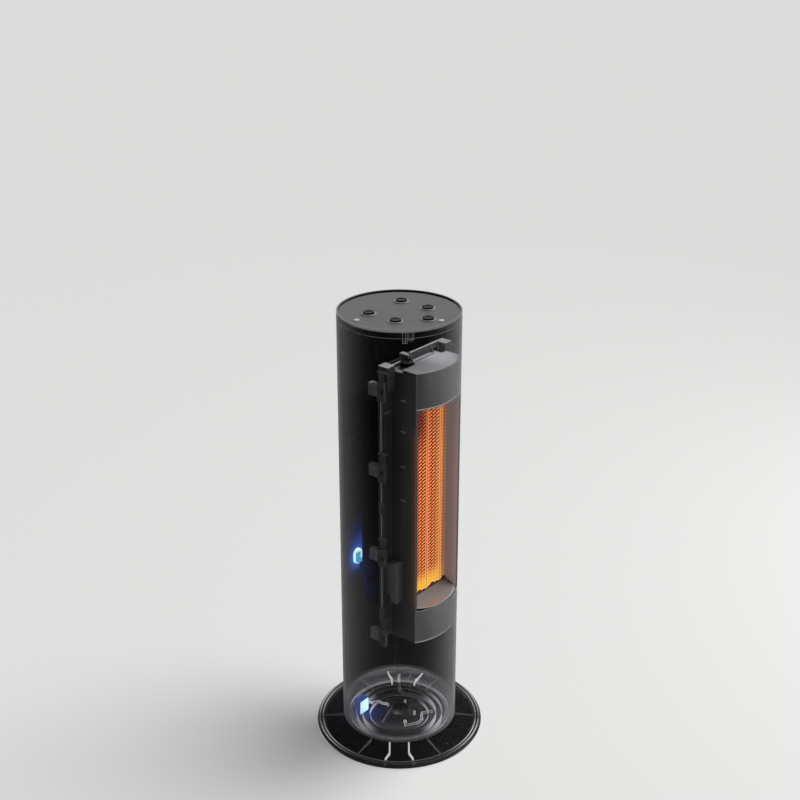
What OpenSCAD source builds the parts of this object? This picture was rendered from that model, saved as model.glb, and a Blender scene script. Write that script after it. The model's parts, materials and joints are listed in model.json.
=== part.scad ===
// Round tower heater: a smoked see-through casing on a flat round base.
// The warm air leaves at -Y, the cool air comes in at +Y, and +Z is up.
// The origin is the middle of the footprint, on the floor.

/* [Casing] */
// Outer diameter of the round casing
casing_d = 150; // [146:1:156]
// Wall thickness of the casing
casing_wall = 2; // [1.6:0.1:2.4]
// Height of the casing's top edge above the floor
tower_top = 585; // [582:1:610]
// Height of the casing's bottom edge above the floor
casing_bottom = 16; // [15.6:0.2:18]
// Gap between the casing and the pieces that sit in it
casing_fit = 0.2; // [0.1:0.05:0.3]
// Height of one air intake slot at the back
intake_slot_h = 3; // [2:0.5:4]
// Distance from one intake slot to the next
intake_pitch = 8; // [7:0.5:12]
// Half angle of the arc that the intake slots span
intake_half_angle = 30; // [20:1:34]
// Distance from blade to blade of the guard behind the intake slots
guard_pitch = 4; // [3.5:0.5:5]
// Depth of a blade of the intake guard
guard_depth = 3; // [2.5:0.5:3]
// Thickness of a blade of the intake guard
guard_blade_t = 1; // [0.8:0.1:1.2]

/* [Base disc] */
// Diameter of the base disc
base_d = 221; // [214:1:240]
// Height of the base's raised outer lip
base_lip_h = 7; // [6.6:0.2:8]
// Width of the raised outer lip
base_lip_w = 8.5; // [7:0.5:10]
// Height of the base's top where the tower stands
base_crown_h = 11.5; // [11:0.1:12]
// Wall thickness of the base's upper shell
base_wall = 2.2; // [1.8:0.1:2.4]
// Height of the rubber feet under the base
foot_h = 1.5; // [1:0.1:2]
// Diameter of a rubber foot
foot_d = 12; // [9:0.5:13]
// Radius of the circle that the feet stand on
foot_ring_r = 90; // [86:1:92]
// Thickness of the plate that closes the base from below
plate_t = 2; // [1.6:0.1:2.4]
// Thickness of the ribs in the base
rib_t = 1.6; // [1.2:0.1:2]
// Direction of the channel at the front of the base
base_axis_angle = -140; // [-150:1:-130]
// Height of the collar that carries the tower
collar_h = 13.5; // [13.2:0.1:13.8]
// Width of the collar's top
collar_w = 3.5; // [3:0.1:4]
// Inner radius of the ring wall round the cable trough
trough_ring_r = 55; // [53:0.5:56]
// Inner radius of the ring wall round the hub
well_ring_r = 40; // [39:0.5:42]
// Height of the ring walls above the plate
ring_wall_h = 4; // [3:0.5:5]

/* [Hub and swing drive] */
// Diameter of the hub tube that the tower turns on
hub_tube_d = 22; // [21:0.5:23]
// Diameter of the cable bore through the hub tube
hub_bore_d = 16; // [14:0.5:17]
// Wall of the bush round the hub tube
bush_wall = 2; // [1.6:0.1:2.2]
// Wall of the base's boss round the bush
boss_wall = 2; // [1.8:0.1:2.4]
// Running clearance round a turning shaft
running_fit = 0.06; // [0.03:0.01:0.1]
// Module of the gear teeth
gear_module = 1.25; // [1.2:0.05:1.3]
// Number of teeth on the fixed hub gear
hub_teeth = 32; // [30:1:34]
// Number of teeth on the driving pinion
pinion_teeth = 12; // [11:1:14]
// Face width of the pinion
gear_w = 7; // [6:0.5:8]
// Direction of the swing motor from the hub
drive_angle = -42; // [-50:1:-30]
// Diameter of the swing motor
swing_motor_d = 28; // [26:0.5:30]
// Height of the swing motor
swing_motor_h = 19; // [16:1:22]
// Diameter of the pinion's shaft
pinion_shaft_d = 5; // [4:0.5:6]

/* [Tip-over switch] */
// Width of the switch block
tip_w = 17.5; // [15:0.5:18]
// Depth of the switch block
tip_depth = 10; // [8:0.5:11]
// Height of the switch block
tip_h = 22; // [19:0.5:23]
// Sideways place of the switch block's middle
tip_x = -26; // [-27:0.5:-24]
// Front to back place of the switch block's front face
tip_front_y = 40; // [38:0.5:40]
// Diameter of the plunger that feels the floor
plunger_d = 5; // [4:0.5:6]
// Travel of the plunger
plunger_travel = 2.5; // [1.5:0.5:3]

/* [Tower floor] */
// Height of the tower floor's upper face
floor_z = 36; // [34:0.5:40]
// Thickness of the tower floor
floor_t = 3; // [2.5:0.5:4]
// Wall thickness of the turntable
turntable_wall = 2; // [1.6:0.1:2.4]
// Thickness of the slide ring
slide_t = 1.5; // [1.2:0.1:1.8]

/* [Top] */
// Depth of the cap's face below the casing's top edge
cap_recess = 3; // [2:0.5:4]
// Thickness of the top cap
cap_t = 2.5; // [2:0.5:3]
// Height of the skirt under the cap
cap_skirt_h = 7.5; // [6:0.5:9]
// Diameter of a button
button_d = 14; // [12:0.5:15]
// Travel of a button
button_travel = 1.2; // [0.6:0.1:1.5]
// Sideways place of the paired buttons
button_x = 30; // [28:0.5:32]
// Front to back place of the rear pair of buttons
button_rear_y = 22; // [20:0.5:24]
// Front to back place of the front pair of buttons
button_front_y = -19; // [-21:0.5:-18]
// Front to back place of the middle button
button_mid_y = -44; // [-46:0.5:-42]
// Width of the collar round a button
collar_ring_w = 1.8; // [1.4:0.1:2.2]
// Thickness of the circuit boards
board_t = 1.6; // [1.2:0.2:2]

/* [Air hood] */
// Half of the hood's width
hood_half_w = 41; // [40:0.5:42]
// Wall thickness of the hood
hood_wall = 2; // [1.6:0.1:2.4]
// Height of the hood's bottom above the floor
hood_bottom = 165; // [160:1:170]
// Depth of the hood's shelf below the casing's top edge
hood_drop = 55; // [51:1:59]
// Height of the lower edge of the outlet window
window_bottom = 210.5; // [206:0.5:214]
// Depth of the outlet window's upper edge below the casing's top edge
window_drop = 102; // [97:0.5:105]
// Distance from the tower's middle to the shelf's back edge
shelf_back = 39.3; // [37:0.5:41]
// Step from the shelf down to the hood's rear part
shelf_step = 4; // [3:0.5:5]

/* [Heater core] */
// Distance from the tower's middle to the core's front face
core_front = 45; // [43:0.5:47]
// Depth of the heater core
core_depth = 14; // [12:0.5:15]
// Height of the lower end of the bars and fins
core_bottom = 221; // [219:0.5:224]
// Depth of the upper end of the bars and fins below the casing's top edge
core_drop = 111; // [109:0.5:115]
// Half of the core's width
core_half_w = 38; // [37:0.5:38.4]
// Distance from one heating bar to the next
bar_pitch = 26.2; // [24:0.2:28]
// Width of a heating bar
bar_w = 4.8; // [4:0.2:5.6]
// Width of the groove down the face of a heating bar
bar_groove = 1.2; // [0.8:0.1:1.6]
// Height of one full fold of the fins
fin_pitch = 5; // [4.6:0.2:6.4]
// Thickness of the fin strip
fin_t = 0.5; // [0.4:0.1:0.7]
// Height of an end cap of the core
core_cap_h = 9; // [8:0.5:9.5]

/* [Heater frame] */
// Distance from the tower's middle to the frame's front face
frame_front = 21; // [20:0.5:22]
// Thickness of the frame plate
frame_t = 3; // [2.5:0.5:3.5]
// How far a clip stands out from the side of the frame
clip_reach = 4.5; // [3.5:0.1:5.5]
// Gap between a clip's corner and the casing
clip_gap = 1.44; // [1:0.02:2.5]
// Width of a post at the top of the frame
post_w = 13; // [11:0.5:14]
// Depth of a post in front of the frame plate
post_depth = 12; // [9:0.5:13]
// Height of a post
post_h = 31; // [26:1:34]
// Depth of the posts' top below the casing's top edge
post_drop = 49; // [45:1:52]
// Depth of the flange along the frame's edges
flange_depth = 4; // [3:0.5:5]
// Places of the clips, as shares of the way from the lowest to the highest
clip_shares = [0, 0.343, 0.687, 1];
// Height of the lowest clip's middle above the hood's bottom
clip_low_lift = 5.5; // [4:0.5:9]
// Depth of the highest clip's middle below the hood's shelf
clip_high_drop = 24; // [21:0.5:28]
// Height of the hook block of a clip
clip_block_h = 15; // [12:0.5:17]
// Depth of the hook block of a clip
clip_block_depth = 13.6; // [12:0.2:15]
// Height of the body of a clip
clip_body_h = 38; // [32:1:42]
// Width of the square hole in a clip
clip_hole = 6; // [4:0.5:7]

/* [Blower] */
// Outer diameter of the blower wheel
wheel_d = 60; // [56:1:62]
// Distance from the tower's middle back to the blower's axis
wheel_y = 24; // [22:0.5:26]
// Gap between an end of the wheel and the housing's end plate
wheel_end_gap = 6; // [4:0.5:9]
// Number of blades round the wheel
blade_count = 28; // [22:1:32]
// Depth of a blade
blade_depth = 7; // [5:0.5:8]
// Thickness of a blade
blade_t = 0.9; // [0.8:0.1:1.2]
// Diameter of the blower's shaft
shaft_d = 8; // [6:0.5:9]
// Gap between the wheel and its housing
wheel_gap = 4; // [3:0.5:5]
// Wall thickness of the blower housing
housing_wall = 2; // [1.6:0.1:2.4]
// Distance from the tower's middle to the housing's back edge
housing_back = 50; // [48:0.5:52]
// Height of the lower face of the housing's bottom plate
housing_bottom = 229; // [226:0.5:230]
// Depth of the housing's top plate below the casing's top edge
housing_drop = 112; // [109:0.5:114]
// Diameter of the fan motor
fan_motor_d = 54; // [48:1:58]
// Height of the fan motor
fan_motor_h = 42; // [36:1:46]

/* [Electrics] */
// Half of the power board's width
power_half_w = 42; // [38:0.5:44]
// Gap between the blower housing and the power board's lower edge
power_lift = 7; // [4:0.5:9]
// Depth of the power board's upper edge below the hood's shelf
power_top_drop = 2; // [1:0.5:5]
// Height of the sensor's middle above the floor
sensor_z = 225; // [215:1:235]
// Width of the sensor's light ring
sensor_w = 15; // [13:0.5:17]
// Height of the sensor's light ring
sensor_h = 22; // [20:0.5:25]
// Width of the light ring's lit line
sensor_line = 3.2; // [2.5:0.1:3.6]
// Diameter of the lead from the tip-over switch
tip_lead_d = 3; // [2.4:0.1:3.6]
// Diameter of the mains lead inside the base
mains_lead_d = 3.4; // [2.6:0.1:3.6]
// Diameter of the harness up the tower
harness_d = 6; // [5:0.5:7]
// Diameter of the thin leads
lead_d = 2.6; // [2:0.2:3]

/* [Hidden] */

$fn = 72;
past = 1;
casing_r = casing_d / 2;
casing_in = casing_r - casing_wall;
inside_r = casing_in - casing_fit;
plate_top = foot_h + plate_t;

// Swing drive
thrust_gap = 0.05;
boss_r = hub_tube_d / 2 + bush_wall + boss_wall + running_fit;
boss_top = 15;
pad_r = boss_r + 9;
pad_top = plate_top + 4.5;
recess_r = boss_r + 2.9;
recess_top = foot_h + 4;
retainer_t = 2.3;
retainer_gap = 0.1;
flange_lift = 1.5;
hub_pitch_r = gear_module * hub_teeth / 2;
pinion_pitch_r = gear_module * pinion_teeth / 2;
drive_r = hub_pitch_r + pinion_pitch_r;
gear_bottom = boss_top + flange_lift + 0.5;
pressure_angle = 25;
backlash = 0.25;

// Turntable and collar
slide_bottom = collar_h;
slide_top = slide_bottom + slide_t;
flange_z = slide_top + thrust_gap;
flange_t = 2;
turntable_out = inside_r;
turntable_in = turntable_out - turntable_wall;
collar_out = turntable_in - 3.8;
collar_in = collar_out - collar_w;
slide_in = collar_in - 1;
slide_out = collar_out - 0.5;

// Base disc
base_r = base_d / 2;
tip_y = tip_front_y + tip_depth / 2;
plate_r = base_r - base_lip_w - 1.5;
shell_fit = 0.3;
shell_in = plate_r + shell_fit;
screw_ring_r = plate_r - 12;
screw_d = 3;
screw_head_d = 6;
screw_fit = 0.05;
foot_offsets = [-130, -70, -23, 23, 70, 130];
screw_offsets = [-155, -95, -45, 45, 95, 155];
channel_half = 12.5;
lead_port_w = 8;
gland_w = 10;

// Top
cap_z = tower_top - cap_recess;
cap_under = cap_z - cap_t;
skirt_z = cap_z - cap_skirt_h;
ledge_h = 2.5;
board_z = cap_under - 9.5;
button_r = button_d / 2;
button_flange_t = 1.5;
press_h = 4.3;
cap_screw_r = 1.25;
button_places = [
  [0, button_mid_y], [-button_x, button_front_y], [button_x, button_front_y],
  [-button_x, button_rear_y], [button_x, button_rear_y]
];
pillar_places = [[0, 40], [0, -24], [-44, 0], [44, 0]];

// Heater module
hood_top = tower_top - hood_drop;
window_top = tower_top - window_drop;
core_top = tower_top - core_drop;
post_top = tower_top - post_drop;
frame_back = frame_front - frame_t;
core_back = core_front - core_depth;
core_seat = 0.2;
cap_reach = 2;
fin_fit = 0.1;
core_cap_z = core_bottom - core_cap_h;
hood_in = hood_half_w - hood_wall;
hood_r = inside_r;
clip_front = frame_front + 10;
clip_back = frame_front - 1;
clip_out = sqrt(pow(casing_in - clip_gap, 2) - pow(clip_front, 2));
frame_half_w = clip_out - clip_reach;
clip_low = hood_bottom + clip_low_lift;
clip_high = hood_top - clip_high_drop;
clip_z = [for (share = clip_shares) clip_low + share * (clip_high - clip_low)];
flange_w = 2;
cover_gap = 5;
cover_w = frame_half_w - flange_w - cover_gap - hood_half_w;

// Blower
housing_top = tower_top - housing_drop;
housing_plate_t = 3;
cradle_gap = 3;
wheel_r = wheel_d / 2;
housing_r = wheel_r + wheel_gap;
housing_half = housing_r + housing_wall + 9;
plate_below = housing_bottom + housing_plate_t;
plate_above = housing_top - housing_plate_t;
wheel_bottom = plate_below + wheel_end_gap;
wheel_top = plate_above - wheel_end_gap;
motor_top = housing_bottom - cradle_gap;
motor_bottom = motor_top - fan_motor_h;
slots_from = wheel_bottom + 12;
slot_count = floor((wheel_top - 4 - slots_from) / intake_pitch);
slot_half = casing_r * sin(intake_half_angle);

// Electrics
board_gap = 8;
power_y = -frame_back + board_gap;
power_bottom = housing_top + power_lift;
power_top = hood_top - power_top_drop;
duct_x = frame_half_w - 9;
socket_x = 32;
socket_depth = 11;
sensor_board_t = 1.6;
sensor_inner = casing_in - 2.5;
sensor_board_lap = 0.7;
sensor_socket = 4;
sensor_socket_z = sensor_z - sensor_h / 2 + sensor_line - sensor_board_lap + 3.5;

// Polyline helpers for the leads
function unit(v) = v / norm(v);
function turn_at(p, i) =
  i == 0 ? unit(p[1] - p[0])
  : i == len(p) - 1 ? unit(p[i] - p[i - 1])
  : unit(unit(p[i] - p[i - 1]) + unit(p[i + 1] - p[i]));
function side_of(t, s) = unit(s - t * (s * t));
function sides_along(p, i, s) =
  i == len(p) ? [] : let (now = side_of(turn_at(p, i), s)) concat([now], sides_along(p, i + 1, now));
function arc_points(r, from, to, steps, z) =
  [for (i = [0 : steps]) let (a = from + (to - from) * i / steps) [r * cos(a), r * sin(a), z]];
function polar(r, a, z) = [r * cos(a), r * sin(a), z];

// Round lead along a list of points, one ring of corners at each point
module lead(p, d, start_side = [0.3, 0.1, 1], corners = 8) {
  s = sides_along(p, 0, start_side);
  rings = [for (i = [0 : len(p) - 1])
    let (t = turn_at(p, i), u = s[i], v = cross(t, u))
      for (k = [0 : corners - 1])
        p[i] + d / 2 * (cos(360 * k / corners) * u + sin(360 * k / corners) * v)];
  walls = [for (i = [0 : len(p) - 2], k = [0 : corners - 1])
    let (a = i * corners + k, b = i * corners + (k + 1) % corners)
      for (face = [[a, a + corners, b], [b, a + corners, b + corners]]) face];
  first = [[for (k = [0 : corners - 1]) k]];
  last = [[for (k = [corners - 1 : -1 : 0]) (len(p) - 1) * corners + k]];
  polyhedron(rings, concat(walls, first, last));
}

// Involute gear outline. The middle of one tooth lies on +X.
function inv(a) = tan(a) * 180 / PI - a;
module gear_outline(teeth) {
  pitch_r = gear_module * teeth / 2;
  base_circle = pitch_r * cos(pressure_angle);
  tip_r = pitch_r + gear_module * 0.95;
  root_r = pitch_r - gear_module * 1.2;
  start_r = max(base_circle, root_r);
  half_at_pitch = 90 / teeth - backlash / 2 / pitch_r * 180 / PI;
  steps = 4;
  flank = [for (i = [0 : steps])
    let (r = start_r + (tip_r - start_r) * i / steps)
      [r, half_at_pitch + inv(pressure_angle) - inv(acos(base_circle / r))]];
  root_half = flank[0][1] + 0.6;
  points = [for (n = [0 : teeth - 1]) let (mid = n * 360 / teeth)
    for (q = concat(
      [[root_r, -root_half]],
      [for (i = [0 : steps]) [flank[i][0], -flank[i][1]]],
      [for (i = [steps : -1 : 0]) flank[i]],
      [[root_r, root_half]]))
      [q[0] * cos(mid + q[1]), q[0] * sin(mid + q[1])]];
  polygon(points);
}

module ring(r_out, r_in, z0, z1) {
  translate([0, 0, z0]) difference() {
    cylinder(r = r_out, h = z1 - z0);
    translate([0, 0, -past]) cylinder(r = r_in, h = z1 - z0 + 2 * past);
  }
}

module disc(r, z0, z1) {
  translate([0, 0, z0]) cylinder(r = r, h = z1 - z0);
}

module box(x0, x1, y0, y1, z0, z1) {
  translate([x0, y0, z0]) cube([x1 - x0, y1 - y0, z1 - z0]);
}

module both_sides() {
  children();
  mirror([1, 0, 0]) children();
}

// Base disc

// Room between the shell's underside and the plate, where ribs and bosses stand
module shell_room(z0) {
  rotate_extrude() polygon([
    [collar_in + 1, z0], [shell_in - 0.2, z0], [shell_in - 0.2, base_lip_h - 2.5],
    [casing_r + 1, base_crown_h - base_wall + 0.2], [collar_in + 1, base_crown_h - base_wall + 0.5]
  ]);
}

// Straight upright rib between two points of the base's own plan
module rib(from, to) {
  run = to - from;
  translate([from[0], from[1], plate_top])
    rotate([0, 0, atan2(run[1], run[0])])
      translate([0, -rib_t / 2, 0]) cube([norm(run), rib_t, base_crown_h]);
}

module channel_ribs() {
  both_sides() {
    rib([channel_half, collar_in + 1], [channel_half, casing_r + 9]);
    rib([channel_half, casing_r + 8.4], [channel_half + 5, casing_r + 18]);
    rib([channel_half + 4.8, casing_r + 17.6], [channel_half + 6.5, shell_in + 3]);
  }
}

module base_rib_set() {
  rotate([0, 0, base_axis_angle - 90]) {
    channel_ribs();
    rotate([0, 0, 180]) channel_ribs();
    for (a = [-90, -33, 33, 90, -147, 147])
      rotate([0, 0, a]) rib([0, collar_in + 1], [0, shell_in + 3]);
  }
}

module base_shell() color("#3a3d42") {
  lip_in = base_r - base_lip_w;
  difference() {
    union() {
      rotate_extrude($fn = 144) {
        difference() {
          polygon([
            [collar_in, plate_top], [collar_in, collar_h], [collar_out, collar_h],
            [collar_out, base_crown_h + 0.4], [casing_r + 1, base_crown_h], [lip_in - 1, base_lip_h - 0.8],
            [lip_in + 0.5, base_lip_h], [base_r - 3, base_lip_h], [base_r - 3, foot_h], [shell_in, foot_h],
            [shell_in, base_lip_h - 2.8], [casing_r + 1, base_crown_h - base_wall],
            [collar_in + collar_w - 1, base_crown_h - base_wall + 0.4], [collar_in + collar_w - 1, plate_top]
          ]);
        }
        translate([base_r - 3, foot_h]) square([1.3, base_lip_h - foot_h]);
        intersection() {
          translate([base_r - 3, base_lip_h - 3]) circle(r = 3);
          translate([base_r - 3, foot_h]) square([4, base_lip_h - foot_h]);
        }
        translate([base_r - 3, foot_h + 1.5]) square([3, base_lip_h - foot_h - 4.5]);
        intersection() {
          translate([base_r - 1.7, foot_h + 1.7]) circle(r = 1.7);
          translate([base_r - 3, foot_h]) square([4, 3]);
        }
      }
      intersection() {
        shell_room(plate_top);
        union() {
          base_rib_set();
          for (a = screw_offsets) rotate([0, 0, base_axis_angle + a])
            translate([screw_ring_r, 0, plate_top]) cylinder(d = screw_head_d, h = base_crown_h);
        }
      }
    }
    for (a = screw_offsets) rotate([0, 0, base_axis_angle + a])
      translate([screw_ring_r, 0, 0]) cylinder(r = screw_d / 2 + screw_fit, h = plate_top + 2.4, $fn = 24);
    rotate([0, 0, base_axis_angle + 180]) {
      box(collar_in - past, collar_out + past, -lead_port_w / 2, lead_port_w / 2,
        plate_top - past, plate_top + 5.3);
      box(plate_r - 14, base_r + past, -gland_w / 2 - 0.4, gland_w / 2 + 0.4, foot_h - past, foot_h + 4.3);
    }
  }
}

module lead_ports() {
  rotate([0, 0, base_axis_angle + 180])
    box(well_ring_r + 8, collar_out, -lead_port_w / 2, lead_port_w / 2, plate_top, plate_top + 9);
  rotate([0, 0, drive_angle])
    box(well_ring_r - 3, well_ring_r + 8, -lead_port_w / 2, lead_port_w / 2, plate_top, plate_top + 9);
  rotate([0, 0, 84])
    box(well_ring_r - 3, well_ring_r + 8, -lead_port_w / 2, lead_port_w / 2, plate_top, plate_top + 9);
}

module base_plate() color("#2b2d31") {
  bush_seat = hub_tube_d / 2 + bush_wall + running_fit;
  difference() {
    union() {
      disc(plate_r, foot_h, plate_top, $fn = 144);
      disc(pad_r, foot_h, pad_top);
      disc(boss_r, foot_h, boss_top);
      difference() {
        union() {
          ring(well_ring_r + rib_t, well_ring_r, plate_top - 0.5, plate_top + ring_wall_h);
          ring(trough_ring_r + rib_t, trough_ring_r, plate_top - 0.5, plate_top + ring_wall_h + 1.5);
        }
        lead_ports();
        box(tip_x - tip_w / 2 - 0.3, tip_x + tip_w / 2 + 0.3, tip_y - tip_depth / 2 - 0.3,
          tip_y + tip_depth / 2 + 0.3, plate_top, plate_top + 9);
      }
      for (a = [18, -62]) rotate([0, 0, a])
        translate([boss_r + 5.7, 0, pad_top - 0.5]) cylinder(d = 2.6, h = 7, $fn = 24);
    }
    disc(recess_r, foot_h - past, recess_top);
    disc(bush_seat, foot_h, boss_top + past);
    translate([tip_x, tip_y, foot_h - past]) cylinder(d = plunger_d + 0.8, h = plate_t + 2 * past, $fn = 32);
    for (a = screw_offsets) rotate([0, 0, base_axis_angle + a]) translate([screw_ring_r, 0, foot_h]) {
      translate([0, 0, -past]) cylinder(r = screw_d / 2 + screw_fit, h = plate_t + 2 * past, $fn = 24);
      translate([0, 0, -past]) cylinder(d = screw_head_d + 0.4, h = past + 1.2, $fn = 32);
    }
    for (q = [lead_hole(drive_angle - 78), lead_hole(84)])
      translate([q[0], q[1], foot_h - past]) cylinder(d = mains_lead_d + 1.4, h = pad_top, $fn = 24);
    rotate([0, 0, base_axis_angle + 180])
      box(plate_r - 24, plate_r + past, -mains_lead_d / 2 - 0.6, mains_lead_d / 2 + 0.6,
        foot_h - past, plate_top + past);
  }
}

function lead_hole(a) = [(boss_r + 5.2) * cos(a), (boss_r + 5.2) * sin(a)];

module rubber_feet() color("#1b1b1d") {
  for (a = foot_offsets) rotate([0, 0, base_axis_angle + a])
    translate([foot_ring_r, 0, 0]) {
      cylinder(d = foot_d - 1, h = 0.4);
      translate([0, 0, 0.4]) cylinder(d = foot_d, h = foot_h - 0.4);
    }
}

module base_screws() color("silver") {
  for (a = screw_offsets) rotate([0, 0, base_axis_angle + a])
    translate([screw_ring_r, 0, foot_h]) difference() {
      union() {
        translate([0, 0, 0.1]) cylinder(d = screw_head_d, h = 1.1, $fn = 32);
        cylinder(d = screw_d, h = plate_t + 2.2, $fn = 24);
      }
      cross_recess(0.8);
    }
}

// Cross-shaped driver recess in a screw head that faces down
module cross_recess(depth) {
  for (a = [0, 90]) rotate([0, 0, a])
    translate([-1.4, -0.35, -past]) cube([2.8, 0.7, past + depth]);
}

module hub_bush() color("#d8d6cc") {
  inner = hub_tube_d / 2 + running_fit;
  outer = hub_tube_d / 2 + bush_wall + running_fit;
  ring(outer, inner, recess_top, boss_top);
  ring(boss_r, inner, boss_top, boss_top + flange_lift - 0.2);
}

module hub_gear() color("#c9c4b4") {
  difference() {
    union() {
      disc(boss_r + 2.2, pad_top, gear_bottom + 0.01);
      translate([0, 0, gear_bottom])
        rotate([0, 0, drive_angle + 180 / hub_teeth])
          linear_extrude(gear_w + 1) gear_outline(hub_teeth);
    }
    disc(boss_r + screw_fit, pad_top - past, gear_bottom + gear_w + 1 + past);
  }
}

module slide_ring() color("#b9bbbd") {
  difference() {
    ring(slide_out, slide_in, slide_bottom, slide_top, $fn = 144);
    for (i = [0 : 11]) rotate([0, 0, i * 30]) translate([slide_in + 1.4, 0, slide_bottom - past])
      cylinder(d = 1.6, h = slide_t + 2 * past, $fn = 16);
  }
}

module cord_gland() color("#161617") {
  rotate([0, 0, base_axis_angle + 180]) difference() {
    union() {
      box(plate_r + 1, base_r + 0.8, -gland_w / 2, gland_w / 2, foot_h + 0.2, foot_h + 4);
      box(base_r + 0.8, base_r + 2, -gland_w / 2 + 0.6, gland_w / 2 - 0.6, foot_h + 0.4, foot_h + 3.8);
    }
    translate([plate_r, 0, foot_h + 2.1]) rotate([0, 90, 0])
      cylinder(r = mains_lead_d / 2 + 0.1, h = 20, $fn = 32);
  }
}

// The mains lead runs in the rear channel, round the trough and in to the hub
module mains_lead() color("#131314") {
  z = plate_top + mains_lead_d / 2 + 0.1;
  rear = base_axis_angle + 180;
  mid_r = (well_ring_r + rib_t + trough_ring_r) / 2;
  low = foot_h + 2.1;
  down = drive_angle - 78;
  hole_r = norm(lead_hole(down));
  over = pad_top + mains_lead_d / 2;
  route = concat(
    [polar(plate_r + 1, rear, low), polar(plate_r - 14, rear, low), polar(plate_r - 17, rear, low + 0.5),
      polar(plate_r - 22, rear, z), polar(collar_out + 4, rear, z), polar(trough_ring_r - 1, rear - 1, z)],
    arc_points(mid_r, rear - 8, drive_angle + 7, 8, z),
    [polar(mid_r - 3, drive_angle + 1, z), polar(well_ring_r, drive_angle, z), [22.5, -21.5, z], [18, -24, z],
      [11, -30.5, z], [2, -32, z + 0.6], polar(hole_r + 8.4, down - 4, z + 2.6),
      polar(hole_r + 4.6, down, over + 0.4), polar(hole_r + 2, down, over + 0.3),
      polar(hole_r + 0.3, down, pad_top - 0.2), polar(hole_r, down, recess_top)]);
  lead(route, mains_lead_d);
}

// Switch block with its plunger bore and the chamber of the plunger's head
module tip_switch_case() color("#8fd0ff") {
  difference() {
    box(tip_x - tip_w / 2, tip_x + tip_w / 2, tip_y - tip_depth / 2, tip_y + tip_depth / 2,
      plate_top, plate_top + tip_h);
    translate([tip_x, tip_y, plate_top - past])
      cylinder(r = plunger_d / 2 + running_fit, h = tip_h / 2, $fn = 48);
    translate([tip_x, tip_y, plate_top + 3]) cylinder(d = plunger_d + 4, h = tip_h - 9, $fn = 48);
  }
}

module tip_switch_lead() color("#1a1a1c") {
  z = plate_top + tip_lead_d / 2 + 0.1;
  down = 84;
  hole_r = norm(lead_hole(down));
  over = pad_top + tip_lead_d / 2;
  x0 = tip_x + tip_w / 2;
  y0 = tip_y - 1;
  route = [[x0, y0, z + 8], [x0 + 2.5, y0, z + 8], [x0 + 6, y0, z + 6], [x0 + 12, y0, z + 1],
    [0, y0 - 0.2, z], [3.6, y0 - 1.5, z], [4.4, well_ring_r, z], [4.4, well_ring_r - 6, z],
    polar(hole_r + 7.6, down, z + 2.8), polar(hole_r + 4.6, down, over + 0.4),
    polar(hole_r + 2, down, over + 0.3), polar(hole_r + 0.3, down, pad_top - 0.2),
    polar(hole_r, down, recess_top)];
  lead(route, tip_lead_d);
}

module tip_plunger() color("#e8e6de") {
  head_z = plate_top + 3 + plunger_travel + 0.3;
  translate([tip_x, tip_y, 0]) {
    translate([0, 0, 0.6]) cylinder(d = plunger_d, h = head_z - 0.6, $fn = 48);
    cylinder(d = plunger_d - 1, h = 0.6, $fn = 48);
    translate([0, 0, head_z]) cylinder(d = plunger_d + 3, h = 2, $fn = 48);
  }
}

// Turntable and swing drive

module turntable() color("#6b7077") {
  difference() {
    union() {
      rotate_extrude($fn = 144) polygon([
        [hub_bore_d / 2, retainer_top()], [hub_tube_d / 2, retainer_top()],
        [hub_tube_d / 2, floor_z - floor_t], [turntable_in, floor_z - floor_t],
        [turntable_in, flange_z + flange_t], [slide_in, flange_z + flange_t],
        [slide_in, flange_z], [turntable_out, flange_z], [turntable_out, floor_z], [hub_bore_d / 2, floor_z]
      ]);
      for (a = [0 : 60 : 300]) rotate([0, 0, a + 20])
        box(hub_tube_d / 2 + 6, turntable_in - 6, -rib_t / 2, rib_t / 2, floor_z - 0.01, floor_z + 2.5);
      for (s = [-1, 1]) translate(motor_ear(s)) cylinder(d = 6, h = 3.2, $fn = 32);
    }
    translate(concat(drive_place(), [floor_z - floor_t - past]))
      cylinder(d = pinion_shaft_d + 1.4, h = floor_t + 2 * past, $fn = 48);
    translate(concat(drive_place(), [floor_z])) cylinder(d = swing_motor_d + 1, h = 20);
    for (s = [-1, 1]) translate(motor_ear(s)) translate([0, 0, -floor_t / 2])
      cylinder(r = screw_d / 2 + screw_fit, h = 10, $fn = 24);
    for (a = [0, 120, 240]) translate(concat(retainer_place(a), [retainer_top() - past]))
      cylinder(r = 1 + screw_fit, h = 8 + past, $fn = 24);
  }
}

function retainer_top() = recess_top - retainer_gap;
function retainer_place(a) = let (r = (hub_bore_d + hub_tube_d) / 4) [r * cos(a), r * sin(a)];
function drive_place() = [drive_r * cos(drive_angle), drive_r * sin(drive_angle)];
function motor_ear(s) = let (p = drive_place(), r = swing_motor_d / 2 + 3.5)
  [p[0] + s * r * cos(drive_angle + 90), p[1] + s * r * sin(drive_angle + 90), floor_z];

module hub_retainer() color("#9a9da1") {
  difference() {
    ring(boss_r + 1, hub_bore_d / 2, retainer_top() - retainer_t, retainer_top());
    for (a = [0, 120, 240]) translate(concat(retainer_place(a), [foot_h]))
      cylinder(r = 1 + screw_fit, h = 10, $fn = 24);
  }
}

module retainer_screws() color("silver") {
  for (a = [0, 120, 240]) translate(concat(retainer_place(a), [retainer_top() - retainer_t])) {
    cylinder(r = 1, h = retainer_t + 7, $fn = 24);
    difference() {
      translate([0, 0, -1]) cylinder(r = 1.9, h = 1, $fn = 32);
      translate([-1.2, -0.3, -1 - past]) cube([2.4, 0.6, past + 0.5]);
    }
  }
}

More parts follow.
